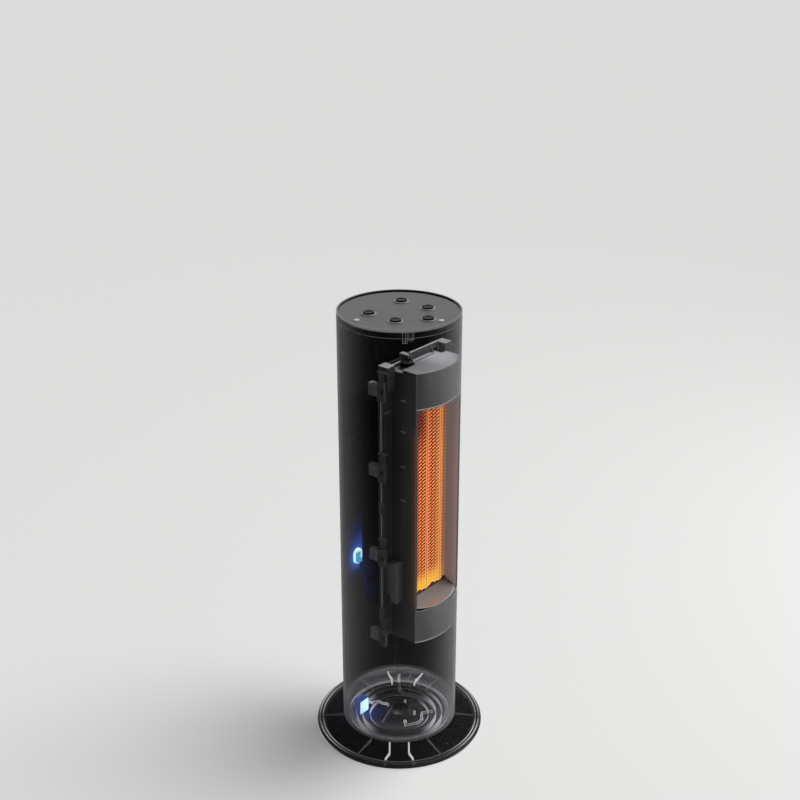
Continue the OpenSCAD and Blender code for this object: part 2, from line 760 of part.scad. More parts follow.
module swing_motor() color("#b4b7ba") {
  ear_z = floor_z + 3.2;
  difference() {
    union() {
      translate(concat(drive_place(), [floor_z])) cylinder(d = swing_motor_d, h = swing_motor_h);
      translate(concat(drive_place(), [floor_z + swing_motor_h])) cylinder(d = swing_motor_d / 3, h = 1);
      for (s = [-1, 1]) translate([0, 0, ear_z - floor_z])
        translate(motor_ear(s)) cylinder(d = 7, h = 1.2, $fn = 32);
      translate(drive_place()) rotate([0, 0, drive_angle])
        box(-3, 3, -swing_motor_d / 2 - 3.5, swing_motor_d / 2 + 3.5, ear_z, ear_z + 1.2);
      translate(drive_place()) rotate([0, 0, drive_angle])
        box(swing_motor_d / 2 - 3, swing_motor_d / 2 + 3, -7, 7, floor_z + 3, floor_z + swing_motor_h - 2);
    }
    for (s = [-1, 1]) translate([0, 0, -past]) translate(motor_ear(s))
      cylinder(r = screw_d / 2 + screw_fit, h = 10, $fn = 24);
    translate(concat(drive_place(), [floor_z - past]))
      cylinder(r = pinion_shaft_d / 2 + running_fit, h = 7 + past, $fn = 48);
  }
}

module swing_motor_screws() color("silver") {
  head_z = 3.2 + 1.2;
  for (s = [-1, 1]) translate(motor_ear(s)) difference() {
    union() {
      translate([0, 0, -1]) cylinder(d = screw_d, h = head_z + 1, $fn = 24);
      translate([0, 0, head_z]) cylinder(d = 5, h = 1.8, $fn = 32);
    }
    for (a = [0, 90]) rotate([0, 0, a]) translate([-1.4, -0.35, head_z + 0.9]) cube([2.8, 0.7, 2]);
  }
}

module swing_pinion() color("#efe9d8") {
  translate(concat(drive_place(), [0])) {
    translate([0, 0, gear_bottom + 0.5]) rotate([0, 0, drive_angle + 180])
      linear_extrude(gear_w) gear_outline(pinion_teeth);
    translate([0, 0, gear_bottom + 0.5])
      cylinder(d = pinion_shaft_d, h = floor_z + 6 - gear_bottom, $fn = 48);
  }
}

// Casing and top

module stadium(w, h, depth) {
  rotate([90, 0, 0]) linear_extrude(depth) {
    translate([0, (h - w) / 2]) circle(d = w, $fn = 48);
    translate([0, -(h - w) / 2]) circle(d = w, $fn = 48);
    square([w, h - w], center = true);
  }
}

module casing() color("#4a4d52", 0.45) {
  difference() {
    union() {
      ring(casing_r, casing_in, casing_bottom, tower_top, $fn = 180);
      ring(casing_in + 0.5, casing_in - 2, skirt_z - ledge_h, skirt_z, $fn = 180);
      both_sides() for (z = clip_z) intersection() {
        disc(casing_in + 0.5, z - clip_block_h / 2, z + clip_block_h / 2);
        box(clip_out + 0.2, casing_r, -clip_back + 2, -clip_back + clip_block_depth - 2,
          z - clip_block_h / 2 + 2, z + clip_block_h / 2 - 2);
      }
    }
    box(-hood_in, hood_in, -casing_r - past, -core_front, window_bottom + 1.5, window_top - 1.5);
    for (i = [0 : slot_count - 1])
      box(-slot_half, slot_half, casing_r / 2, casing_r + past, slots_from + i * intake_pitch,
        slots_from + i * intake_pitch + intake_slot_h);
    translate([0, casing_r + past, sensor_z])
      stadium(sensor_w + 2 * casing_fit, sensor_h + 2 * casing_fit, casing_wall + 10);
  }
}

// Upright blades behind the intake slots, hung by four nubs that rest in the slots
module intake_guard() color("#2b2d30") {
  solid_h = intake_pitch - intake_slot_h;
  z0 = slots_from - solid_h;
  z1 = slots_from + slot_count * intake_pitch;
  half = floor((slot_half - 3) / guard_pitch);
  edge = half * guard_pitch + guard_blade_t / 2;
  nub = floor(half * 0.75) * guard_pitch;
  nub_y = sqrt(pow(inside_r, 2) - pow(nub, 2));
  intersection() {
    ring(inside_r, inside_r - guard_depth, z0, z1, $fn = 180);
    union() {
      for (i = [-half : half])
        box(i * guard_pitch - guard_blade_t / 2, i * guard_pitch + guard_blade_t / 2, 0, inside_r, z0, z1);
      for (share = [0, 0.25, 0.5, 0.75, 1])
        box(-edge, edge, 0, inside_r, z0 + 1 + floor(share * slot_count) * intake_pitch,
          z0 - 1 + solid_h + floor(share * slot_count) * intake_pitch);
    }
  }
  both_sides() for (i = [0, slot_count - 1])
    box(nub - 1.5, nub + 1.5, nub_y - 2, nub_y + 1.3, slots_from + i * intake_pitch,
      slots_from + i * intake_pitch + intake_slot_h - 1);
}

module top_cap() color("#54585e") {
  hook_z = skirt_z + 3;
  boss_angles = [-84, 162];
  difference() {
    union() {
      disc(inside_r, cap_under, cap_z, $fn = 180);
      ring(inside_r, inside_r - 2, skirt_z, cap_under + 0.5, $fn = 180);
      for (q = pillar_places) translate([q[0], q[1], board_z + board_t])
        cylinder(d = 6, h = cap_under + 0.5 - board_z - board_t, $fn = 32);
      for (a = [-135, -129, -56, 48, 150]) rotate([0, 0, a]) {
        box(inside_r - 7, inside_r - 5.4, -2.4, 2.4, hook_z - 9, cap_under + 0.5);
        box(inside_r - 7, inside_r - 4.2, -2.4, 2.4, hook_z - 9, hook_z - 6.6);
      }
      for (a = boss_angles) rotate([0, 0, a]) translate([inside_r - 14, 0, cap_z - 0.5])
        cylinder(d = 7, h = 1.2, $fn = 32);
    }
    for (q = button_places) translate([q[0], q[1], cap_under - past])
      cylinder(r = button_r + 0.1, h = cap_t + 4, $fn = 64);
    for (q = pillar_places) translate([q[0], q[1], board_z])
      cylinder(r = cap_screw_r + screw_fit, h = 8, $fn = 24);
    for (a = boss_angles) rotate([0, 0, a]) translate([inside_r - 14, 0, cap_z - 0.4])
      cylinder(d = 4, h = 3, $fn = 32);
  }
}

module button_collars() color("#8d9197") {
  for (q = button_places) translate([q[0], q[1], 0])
    ring(button_r + 0.3 + collar_ring_w, button_r + 0.3, cap_z, cap_z + 1.4, $fn = 64);
}

module button(q) {
  flange_z0 = cap_under - 0.1 - button_flange_t;
  stem_end = board_z + board_t + press_h + button_travel + 0.2;
  translate([q[0], q[1], 0]) difference() {
    union() {
      translate([0, 0, flange_z0]) cylinder(r = button_r + 1, h = button_flange_t, $fn = 64);
      translate([0, 0, flange_z0 + 0.1]) cylinder(r = button_r, h = tower_top - flange_z0 - 0.7, $fn = 64);
      translate([0, 0, tower_top - 0.7]) cylinder(r = button_r - 0.6, h = 0.7, $fn = 64);
      translate([0, 0, stem_end]) cylinder(r = 1.6, h = flange_z0 - stem_end + 0.1, $fn = 24);
    }
    translate([0, 0, tower_top + 22.4]) sphere(r = 23, $fn = 96);
  }
}

module button_middle() color("#101113") button(button_places[0]);
module button_front_left() color("#101113") button(button_places[1]);
module button_front_right() color("#101113") button(button_places[2]);
module button_rear_left() color("#101113") button(button_places[3]);
module button_rear_right() color("#101113") button(button_places[4]);

module control_board() color("#14321f") {
  board_r = inside_r - 14;
  difference() {
    translate([0, 0, board_z]) rotate([0, 0, 30]) cylinder(r = board_r, h = board_t, $fn = 6);
    for (q = pillar_places) translate([q[0], q[1], board_z - past])
      cylinder(r = cap_screw_r + screw_fit, h = 8, $fn = 24);
  }
}

module press_switches() color("#2a2a2c") {
  z = board_z + board_t;
  for (q = button_places) {
    box(q[0] - 3, q[0] + 3, q[1] - 3, q[1] + 3, z, z + press_h - 0.8);
    translate([q[0], q[1], z + press_h - 0.9]) cylinder(d = 3.4, h = 0.9, $fn = 24);
  }
}

module cap_screws() color("silver") {
  for (q = pillar_places) translate([q[0], q[1], board_z]) difference() {
    union() {
      translate([0, 0, -1.6]) cylinder(d = 5, h = 1.6, $fn = 32);
      cylinder(r = cap_screw_r, h = board_t + 5, $fn = 24);
    }
    translate([0, 0, -1.6]) cross_recess(0.7);
  }
}

// Heater frame, clips and air hood

module frame_window(z0, z1) {
  box(-core_half_w, core_half_w, -frame_front - past, -frame_back + past, z0, z1);
}

lead_slot_x = 12;
function lead_slot_z() = core_top + core_cap_h + 12;

module heater_frame() color("#2c2e32") {
  seat = core_cap_h;
  difference() {
    union() {
      difference() {
        box(-frame_half_w, frame_half_w, -frame_front, -frame_back, hood_bottom, hood_top);
        frame_window(core_bottom + 1, core_top - 1);
        both_sides() translate([hood_half_w + 7, -frame_back + past, hood_top - 17]) rotate([90, 0, 0])
          cylinder(d = 12, h = frame_t + 2 * past, $fn = 48);
      }
      both_sides() {
        box(frame_half_w - post_w, frame_half_w, -frame_front - post_depth, -frame_back,
          post_top - post_h, post_top);
        box(frame_half_w - flange_w, frame_half_w, -frame_front - flange_depth, -frame_front + 0.5,
          hood_bottom + 46, post_top - post_h + 1);
        for (z = [hood_bottom + 18, hood_top - 60])
          box(hood_half_w + 0.2, frame_half_w - 6, -frame_front - 2.4, -frame_front + 0.5, z, z + 4);
      }
      for (z = [core_cap_z, core_top]) box(-core_half_w, core_half_w, -core_back, -frame_front + 0.5,
        z, z + core_cap_h);
    }
    both_sides() for (z = [core_cap_z + seat / 2, core_top + seat / 2])
      translate([core_half_w - 8, -frame_back + past, z]) rotate([90, 0, 0])
        cylinder(r = screw_d / 2 + screw_fit, h = core_depth + 20, $fn = 24);
    for (x = [-lead_slot_x, lead_slot_x])
      box(x - 3, x + 3, -frame_front - past, -frame_back + past, lead_slot_z() - 3, lead_slot_z() + 3);
  }
}

// One clip on the left edge of the frame, with its middle at height z
module clip(z) {
  body_z = z - clip_block_h / 2 - 5;
  difference() {
    union() {
      box(-clip_out, -frame_half_w, -clip_front, -clip_back, body_z, body_z + clip_body_h * 0.62);
      box(-clip_out + 2.5, -frame_half_w, -clip_front + 1.5, -clip_back - 1.5,
        body_z + clip_body_h * 0.6, body_z + clip_body_h);
      box(-clip_out + 1.2, -frame_half_w, -clip_front - 1.5, -clip_back,
        body_z + clip_body_h - 3, body_z + clip_body_h - 0.6);
      box(-clip_out, -frame_half_w + 3, -clip_back, -clip_back + clip_block_depth,
        z - clip_block_h / 2, z + clip_block_h / 2);
      translate([-frame_half_w - 2, -clip_back + clip_block_depth / 2, z + clip_block_h / 2 - 0.5])
        cylinder(d = 5, h = 2, $fn = 32);
    }
    box(-clip_out - past, -frame_half_w - 1.5, -clip_front + 1.2, -clip_front + 1.2 + clip_hole,
      z - clip_hole / 2, z + clip_hole / 2);
    box(-frame_half_w, -frame_half_w + 4, -frame_front - 10, -frame_back, body_z - 10, body_z + clip_body_h);
  }
}

module latch(z) {
  box(-frame_half_w - 4, -frame_half_w, -frame_front - 7, -frame_front, z - 6.5, z + 6.5);
  box(-frame_half_w - 5.5, -frame_half_w - 3, -frame_front - 5, -frame_front - 2, z - 3, z + 3);
}

module clips_left() color("#3b3d41") {
  for (z = clip_z) clip(z);
  for (z = [clip_z[0] + 35, clip_z[1] + 66]) latch(z);
}

module clips_right() color("#3b3d41") mirror([1, 0, 0]) {
  for (z = clip_z) clip(z);
  for (z = [clip_z[0] + 35, clip_z[1] + 66]) latch(z);
}

// The hood's outer shape, taken in by a margin on every side but the back
module hood_block(m) {
  intersection() {
    disc(hood_r - m, hood_bottom + m, hood_top - m, $fn = 180);
    box(-hood_half_w + m, hood_half_w - m, -casing_r, -frame_front, hood_bottom, hood_top);
  }
}

module air_hood() color("#84878c") {
  difference() {
    hood_block(0);
    difference() {
      hood_block(hood_wall);
      box(-hood_half_w, hood_half_w, -shelf_back, 0, hood_top - hood_wall - shelf_step, hood_top);
    }
    box(-hood_in, hood_in, -frame_front - 0.5, 0, hood_bottom + hood_wall, hood_top - hood_wall - shelf_step);
    box(-hood_half_w - past, hood_half_w + past, -shelf_back, 0, hood_top - shelf_step, hood_top + past);
    box(-hood_in, hood_in, -casing_r, -core_front - 2, window_bottom, window_top);
  }
  both_sides() for (z = [hood_top - 40, window_top - 33, window_top - 79, window_top - 124])
    box(hood_half_w - 0.01, hood_half_w + 0.8, -shelf_back - 4, -shelf_back + 2, z, z + 1.6);
}

// Sloping plate from the window's lip to the core's end, seen from the side
module baffle(lip_z, end_z, t) {
  intersection() {
    translate([-hood_in + 0.2, 0, 0]) rotate([90, 0, 90]) linear_extrude(2 * hood_in - 0.4)
      polygon([[-casing_r, lip_z - t], [-core_front - 1, end_z - t],
        [-core_front - 1, end_z], [-casing_r, lip_z]]);
    disc(hood_r - hood_wall - 0.1, hood_bottom, hood_top, $fn = 180);
  }
}

module upper_baffle() color("#6d7075") baffle(window_top + 1.8, core_top + 1.2, -1.4);
module lower_baffle() color("#8d9095") baffle(window_bottom - 1.8, core_bottom - 1.2, 1.4);

// Core: end caps, bars and fins

module core_cap(z) {
  difference() {
    box(-core_half_w - 0.7, core_half_w + 0.7, -core_front - 0.7, -core_back, z, z + core_cap_h);
    both_sides() translate([core_half_w - 8, -core_back + past, z + core_cap_h / 2]) rotate([90, 0, 0])
      cylinder(r = screw_d / 2 + screw_fit, h = 9, $fn = 24);
    for (i = [-1, 0, 1]) box(i * bar_pitch - bar_w / 2 - 0.1, i * bar_pitch + bar_w / 2 + 0.1,
      -core_front - core_seat, -core_back + core_seat - 1,
      core_bottom - cap_reach - 0.1, core_top + cap_reach + 0.1);
    for (i = [-1, 0, 1]) box(i * bar_pitch - 1.6, i * bar_pitch + 1.6, -core_front + 4, -core_front + 6,
      core_top, core_top + core_cap_h + past);
  }
}

module core_cap_top() color("#4a3b33") core_cap(core_top);
module core_cap_bottom() color("#4a3b33") core_cap(core_cap_z);

module heating_bars() color("#d98a3c") {
  for (i = [-1, 0, 1]) difference() {
    box(i * bar_pitch - bar_w / 2, i * bar_pitch + bar_w / 2, -core_front, -core_back - 1,
      core_bottom - cap_reach, core_top + cap_reach);
    box(i * bar_pitch - bar_groove / 2, i * bar_pitch + bar_groove / 2, -core_front - past, -core_front + 1.4,
      core_bottom - cap_reach - past, core_top + cap_reach + past);
  }
}

// One folded fin strip, seen from the front. Its folds lie at x0 and x1 by turns.
module fin_strip(x0, x1) {
  end_gap = fin_t / 2 + 0.5;
  tall = core_top - core_bottom - 2 * end_gap;
  legs = floor(tall / fin_pitch * 2);
  rise = tall / legs;
  half = fin_t / 2;
  inner = half * (x1 - x0) / rise;
  function fold_z(i) = core_bottom + end_gap + i * rise;
  right_side = [for (i = [0 : legs]) let (z = fold_z(i))
    for (q = i % 2 == 1 ? [[x1, z - half], [x1, z + half]]
      : i == 0 ? [[x0, z - half]] : i == legs ? [[x0, z + half]] : [[x0 + inner, z]]) q];
  left_side = [for (i = [legs : -1 : 0]) let (z = fold_z(i))
    for (q = i % 2 == 1 ? (i == legs ? [] : [[x1 - inner, z]])
      : i == 0 ? [[x0, z + half]] : i == legs ? [[x0, z - half]] : [[x0, z + half], [x0, z - half]]) q];
  translate([0, -core_back - 1, 0]) rotate([90, 0, 0]) linear_extrude(core_depth - 1.6)
    polygon(concat(right_side, left_side));
}

module heater_fins() color("#e8762c") {
  both_sides() {
    fin_strip(bar_w / 2 + fin_fit, bar_pitch - bar_w / 2 - fin_fit);
    fin_strip(bar_pitch + bar_w / 2 + fin_fit, core_half_w);
  }
}

module heater_terminals() color("#c9b458") {
  for (i = [-1, 0, 1]) {
    box(i * bar_pitch - 1.5, i * bar_pitch + 1.5, -core_front + 4.6, -core_front + 5.4,
      core_top + cap_reach, core_top + core_cap_h + 7);
    box(i * bar_pitch - 2.2, i * bar_pitch + 2.2, -core_front + 4.2, -core_front + 5.8,
      core_top + core_cap_h, core_top + core_cap_h + 1);
  }
}

module riser_bracket() color("#3f4146") {
  deck = hood_top - shelf_step;
  x0 = -8;
  x1 = frame_half_w - post_w - 0.3;
  arch_r = 6;
  foot_end = x1 - 2 * arch_r - 2;
  difference() {
    box(x0, x1, -frame_front - 3, -frame_front, deck, hood_top + 8);
    translate([x1 - arch_r - 1, -frame_front + past, deck + 1]) rotate([90, 0, 0])
      cylinder(r = arch_r, h = 3 + 2 * past, $fn = 48);
  }
  box(x0, foot_end, -frame_front - 7, -frame_front - 2.9, deck, deck + 1.5);
  for (x = [x0, foot_end - 2])
    translate([x, 0, 0]) rotate([90, 0, 90]) linear_extrude(2)
      polygon([[-frame_front - 6.5, deck + 1.4], [-frame_front - 2.9, deck + 1.4],
        [-frame_front - 2.9, hood_top + 6]]);
  box(x0 - 4, x0 + 3, -frame_front - 3, -frame_back + 8, hood_top, hood_top + 5.5);
}

module thermal_cutout() color("#1d1e20") {
  deck = hood_top - shelf_step;
  y = -frame_front - 9;
  translate([-22, y, deck]) {
    cylinder(d = 15, h = 7, $fn = 48);
    translate([0, 0, 7]) cylinder(d = 11, h = 1.4, $fn = 48);
  }
  box(-34, -10, y - 3, y + 3, deck, deck + 1.2);
}

module side_cover() color("#6f7378") {
  tall = 57;
  deep = 19;
  wall = 1.5;
  fall = 6.5;
  notch_h = 9;
  z0 = clip_z[1] - 66;
  difference() {
    translate([-hood_half_w - cover_w, 0, 0]) rotate([90, 0, 90]) linear_extrude(cover_w)
      polygon([[-frame_front - deep, z0], [-frame_front, z0], [-frame_front, z0 + tall - fall],
        [-frame_front - deep, z0 + tall]]);
    translate([-hood_half_w - cover_w + wall, 0, 0]) rotate([90, 0, 90])
      linear_extrude(cover_w - 2 * wall)
        polygon([[-frame_front - deep + wall, z0 + wall], [-frame_front + past, z0 + wall],
          [-frame_front + past, z0 + tall - fall - wall], [-frame_front - deep + wall, z0 + tall - wall]]);
    box(-hood_half_w - cover_w - past, -hood_half_w - cover_w / 3, -frame_front - deep / 2,
      -frame_front + past, z0 - past, z0 + notch_h);
  }
}

// Blower

module housing_outline() {
  guide_steps = 20;
  r0 = housing_r;
  r1 = housing_r + housing_wall;
  guide = [for (i = [0 : guide_steps]) -28 + 108 * i / guide_steps];
  tongue = [for (i = [0 : 6]) 196 + 26 * i / 6];
  polygon(concat(
    [[core_half_w + housing_wall, -frame_back], [core_half_w, -frame_back]],
    [for (a = guide) [r0 * cos(a), wheel_y + r0 * sin(a)]],
    [for (i = [guide_steps : -1 : 0]) [r1 * cos(guide[i]), wheel_y + r1 * sin(guide[i])]]));
  polygon(concat(
    [for (a = tongue) [r0 * cos(a), wheel_y + r0 * sin(a)]],
    [[-core_half_w, -frame_back], [-core_half_w - housing_wall, -frame_back]],
    [[r1 * cos(196) - 1, wheel_y + r1 * sin(196)]]));
}

module housing_plate(z0, z1, bore) {
  difference() {
    intersection() {
      box(-housing_half, housing_half, -frame_back, housing_back, z0, z1);
      disc(inside_r - 2, z0, z1);
    }
    // the open rear corner follows the wheel
    difference() {
      box(-housing_half - past, 0, wheel_y - 6, housing_back + past, z0 - past, z1 + past);
      translate([0, wheel_y, z0 - 2 * past]) cylinder(r = wheel_r + 3, h = z1 - z0 + 4 * past);
    }
    translate([0, wheel_y, z0 - past]) cylinder(r = bore, h = z1 - z0 + 2 * past, $fn = 64);
  }
}

module blower_housing() color("#1f2124") {
  bush_r = shaft_d / 2 + 3;
  housing_plate(housing_bottom, plate_below, shaft_d / 2 + 2);
  housing_plate(plate_above, housing_top, bush_r + screw_fit);
  translate([0, 0, plate_below - 0.01]) linear_extrude(plate_above - plate_below + 0.02) housing_outline();
}

module top_bush() color("#d8d6cc") {
  inner = shaft_d / 2 + running_fit;
  translate([0, wheel_y, 0]) {
    ring(shaft_d / 2 + 3, inner, plate_above, housing_top);
    ring(shaft_d / 2 + 5, inner, housing_top, housing_top + 2);
  }
}

module fan_motor() color("#9b9fa4") {
  translate([0, wheel_y, 0]) difference() {
    union() {
      disc(fan_motor_d / 2, motor_bottom, motor_top - 6);
      disc(fan_motor_d / 2 - 6, motor_top - 6, motor_top);
      disc(10, motor_bottom - 4, motor_bottom);
      for (a = [0, 120, 240]) rotate([0, 0, a + 30]) translate([fan_motor_d / 2 - 9, 0, motor_top - 6])
        cylinder(d = 7, h = 6, $fn = 32);
    }
    disc(shaft_d / 2 + running_fit, motor_top - 20, motor_top + past, $fn = 48);
  }
}

// Ring plate over the motor that hangs it from the housing on three rubber pads
module motor_cradle() color("#33363a") {
  translate([0, wheel_y, 0]) {
    ring(fan_motor_d / 2 - 1, shaft_d / 2 + 6, motor_top, motor_top + 1.6);
    for (a = [0, 120, 240]) rotate([0, 0, a + 30]) translate([fan_motor_d / 2 - 6, 0, motor_top + 1.5])
      cylinder(d = 6, h = housing_bottom - motor_top - 1.5, $fn = 32);
  }
}

module blade() {
  outer = wheel_r - 0.5;
  steps = 4;
  lean = [for (i = [0 : steps]) outer - blade_depth * i / steps];
  function sweep(i) = 7 * sin(90 * i / steps);
  function back_of(i) = sweep(i) + blade_t / lean[i] * 180 / PI;
  polygon(concat(
    [for (i = [0 : steps]) lean[i] * [cos(sweep(i)), sin(sweep(i))]],
    [for (i = [steps : -1 : 0]) lean[i] * [cos(back_of(i)), sin(back_of(i))]]));
}

module blower_wheel() color("#3a3c40") {
  grip = shaft_d / 2 + 0.02;
  thirds = (wheel_top - wheel_bottom) / 3;
  translate([0, wheel_y, 0]) {
    for (z = [wheel_bottom, wheel_top - 2]) ring(wheel_r, grip, z, z + 2);
    for (z = [wheel_bottom + thirds, wheel_bottom + 2 * thirds])
      ring(wheel_r, wheel_r - blade_depth - 1.5, z, z + 1.6);
    ring(shaft_d / 2 + 4, grip, wheel_bottom, wheel_bottom + 12);
    ring(shaft_d / 2 + 4, grip, wheel_top - 12, wheel_top);
    translate([0, 0, wheel_bottom + 1]) linear_extrude(wheel_top - wheel_bottom - 2)
      for (i = [0 : blade_count - 1]) rotate([0, 0, i * 360 / blade_count]) blade();
  }
}

module blower_shaft() color("#c4c6c9") {
  shaft_bottom = motor_top - 18;
  translate([0, wheel_y, shaft_bottom]) cylinder(d = shaft_d, h = housing_top + 6 - shaft_bottom, $fn = 48);
}

// Electrics

module power_board() color("#17402a") {
  difference() {
    box(-power_half_w, power_half_w, power_y, power_y + board_t, power_bottom, power_top);
    both_sides() for (z = [power_bottom + 5, power_top - 5])
      translate([power_half_w - 5, power_y + board_t + past, z]) rotate([90, 0, 0])
        cylinder(r = screw_d / 2 + screw_fit, h = board_t + 2 * past, $fn = 24);
  }
}

// Two relays, a transformer, a chip, a connector row, the lead socket and a capacitor
module power_components() color("#27282b") {
  y = power_y + board_t;
  left = -power_half_w + 8;
  for (x = [left, left + 19]) box(x, x + 15, y, y + 15, power_bottom + 12, power_bottom + 31);
  box(6, 20, y, y + 13, power_bottom + 8, power_bottom + 26);
  box(24, 34, y, y + 8, power_bottom + 24, power_bottom + 40);
  box(left + 2, left + 26, y, y + 9, power_top - 12, power_top - 3);
  box(socket_x - 10, socket_x, y, y + socket_depth, power_bottom + 1, power_bottom + 8);
  translate([12, y, power_bottom + 36]) rotate([-90, 0, 0]) cylinder(d = 10, h = 14, $fn = 32);
}

// The harness comes up through the hub and runs behind the frame to the power board
module main_harness() color("#17181a") {
  end_y = power_y + board_t + socket_depth / 2 + 1.2;
  end_z = power_bottom + 4.5;
  side_y = wheel_y + 7;
  climb_h = power_bottom - 40 - housing_bottom;
  climb = [for (share = [0, 0.33, 0.66, 1]) [duct_x, side_y, housing_bottom + share * climb_h]];
  route = concat(
    [[0, 0, retainer_top() - 1], [0, 0, floor_z + 12], [0, 0, floor_z + 30],
      [duct_x * 0.12, side_y * 0.32, floor_z + 48], [duct_x * 0.47, side_y * 0.9, floor_z + 76],
      [duct_x * 0.82, side_y * 1.1, hood_bottom - 15], [duct_x - 3, side_y + 1, hood_bottom + 25]],
    climb,
    [[duct_x, side_y - 2, power_bottom - 14], [duct_x - 1, wheel_y - 6, power_bottom - 2],
      [duct_x - 6, end_y + 4, end_z - 0.4], [socket_x + 6, end_y, end_z],
      [socket_x + 3, end_y, end_z], [socket_x, end_y, end_z]]);
  lead(route, harness_d);
}

module control_lead() color("#2a2b2e") {
  y = power_y + board_t;
  plug_z = power_top - 7.5;
  edge = -power_half_w + 3;
  up_x = edge + 11;
  lead([[edge + 7, y + 5, plug_z], [edge + 5, y + 5, plug_z], [edge + 2, y + 6, plug_z + 2.5],
    [edge, y + 8, power_top + 2], [edge + 2, y + 14, (power_top + board_z) / 2 - 4],
    [up_x - 2, y + 14, board_z - 12], [up_x, y + 14, board_z - 4], [up_x, y + 14, board_z]], lead_d);
}

module motor_lead() color("#2a2b2e") {
  start_z = motor_bottom + 14;
  edge = fan_motor_d / 2;
  x = duct_x + 8;
  y = wheel_y - 6;
  end_x = power_half_w - 8;
  end_y = power_y + board_t + 4;
  end_z = power_bottom + 27;
  climb_h = power_bottom - 27 - housing_bottom;
  climb = [for (share = [0, 0.33, 0.66, 1]) [x, y, housing_bottom + 7 + share * climb_h]];
  lead(concat(
    [[edge, wheel_y, start_z], [edge + 4, wheel_y, start_z], [duct_x - 3, wheel_y - 3, start_z + 6],
      [x - 2, y, housing_bottom - 7]],
    climb,
    [[x - 1, y, power_bottom], [x - 7, y - 10, end_z - 7], [end_x + 10, y - 21, end_z],
      [end_x + 5, end_y, end_z], [end_x, end_y, end_z]]),
    lead_d);
}

module heater_leads() color("#b43b2e") {
  top = core_top + core_cap_h + 7;
  slot_z = lead_slot_z();
  for (i = [-1, 1])
    lead([[i * bar_pitch, -core_front + 5, top], [i * bar_pitch, -core_front + 5, top + 4],
      [i * bar_pitch * 0.9, -core_front + 8, top + 9], [i * (lead_slot_x + 5), -frame_front - 10, top + 9],
      [i * (lead_slot_x + 0.6), -frame_front - 6, slot_z + 1], [i * lead_slot_x, -frame_front - 2, slot_z],
      [i * lead_slot_x, -frame_back + 3, slot_z], [i * lead_slot_x, power_y, slot_z]], lead_d);
}

module sensor_lead() color("#2a2b2e") {
  y = sensor_inner - sensor_board_t - 2;
  side_x = duct_x - 3;
  side_y = wheel_y + 19;
  end_x = power_half_w - 8;
  end_y = power_y + board_t + 4;
  end_z = power_bottom + 36;
  climb_h = power_bottom - 40 - housing_bottom;
  climb = [for (share = [0, 0.33, 0.66, 1]) [side_x, side_y, housing_bottom + 22 + share * climb_h]];
  lead(concat(
    [[sensor_socket, y, sensor_socket_z], [sensor_socket + 4, y, sensor_socket_z],
      [20, side_y + 19, sensor_z - 2], [36, side_y + 10, housing_bottom + 7]],
    climb,
    [[side_x, side_y - 6, power_bottom + 16], [side_x - 1, side_y - 24, end_z - 4],
      [end_x + 6, end_y + 5, end_z], [end_x + 3, end_y, end_z], [end_x, end_y, end_z]]),
    lead_d);
}

module sensor_ring() color("#7fd4ff") {
  deep = casing_r + 0.4 - sensor_inner;
  translate([0, casing_r + 0.4, sensor_z]) difference() {
    stadium(sensor_w, sensor_h, deep);
    translate([0, past, 0])
      stadium(sensor_w - 2 * sensor_line, sensor_h - 2 * sensor_line, deep + 2 * past);
  }
}

module sensor_board() color("#17402a") {
  half_w = sensor_w / 2 - sensor_line + sensor_board_lap;
  half_h = sensor_h / 2 - sensor_line + sensor_board_lap;
  face = sensor_inner - sensor_board_t;
  box(-half_w, half_w, face, sensor_inner, sensor_z - half_h, sensor_z + half_h);
  box(-3, 3, sensor_inner - 0.01, sensor_inner + 1.6, sensor_z - 2, sensor_z + 2);
  box(-sensor_socket, sensor_socket, face - 4, face, sensor_socket_z - 2.5, sensor_socket_z + 2.5);
}

module module_screws() color("silver") {
  both_sides() {
    for (z = [core_cap_z + core_cap_h / 2, core_top + core_cap_h / 2])
      translate([core_half_w - 8, -frame_back, z]) rotate([90, 0, 0]) {
        cylinder(d = screw_d, h = frame_front - frame_back + core_back - frame_front + 6, $fn = 24);
        translate([0, 0, -2]) cylinder(d = 5.6, h = 2, $fn = 32);
      }
    for (z = [power_bottom + 5, power_top - 5])
      translate([power_half_w - 5, power_y, z]) rotate([90, 0, 0]) {
        cylinder(d = 6, h = power_y + frame_back, $fn = 6);
        translate([0, 0, -board_t]) cylinder(d = screw_d, h = board_t + 0.5, $fn = 24);
        translate([0, 0, -board_t - 2]) cylinder(d = 5.6, h = 2, $fn = 32);
      }
  }
}

base_shell();
base_plate();
rubber_feet();
base_screws();
hub_bush();
hub_gear();
slide_ring();
cord_gland();
mains_lead();
tip_switch_case();
tip_switch_lead();
tip_plunger();
turntable();
hub_retainer();
retainer_screws();
swing_motor();
swing_motor_screws();
swing_pinion();
casing();
intake_guard();
top_cap();
button_collars();
control_board();
press_switches();
cap_screws();
button_middle();
button_front_left();
button_front_right();
button_rear_left();
button_rear_right();
heater_frame();
clips_left();
clips_right();
air_hood();
upper_baffle();
lower_baffle();
core_cap_top();
core_cap_bottom();
heating_bars();
heater_fins();
heater_terminals();
riser_bracket();
thermal_cutout();
side_cover();
blower_housing();
top_bush();
fan_motor();
motor_cradle();
blower_wheel();
blower_shaft();
power_board();
power_components();
main_harness();
control_lead();
motor_lead();
heater_leads();
sensor_lead();
sensor_ring();
sensor_board();
module_screws();
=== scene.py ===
import json
import math
import bmesh
import bpy
from mathutils import Matrix, Vector


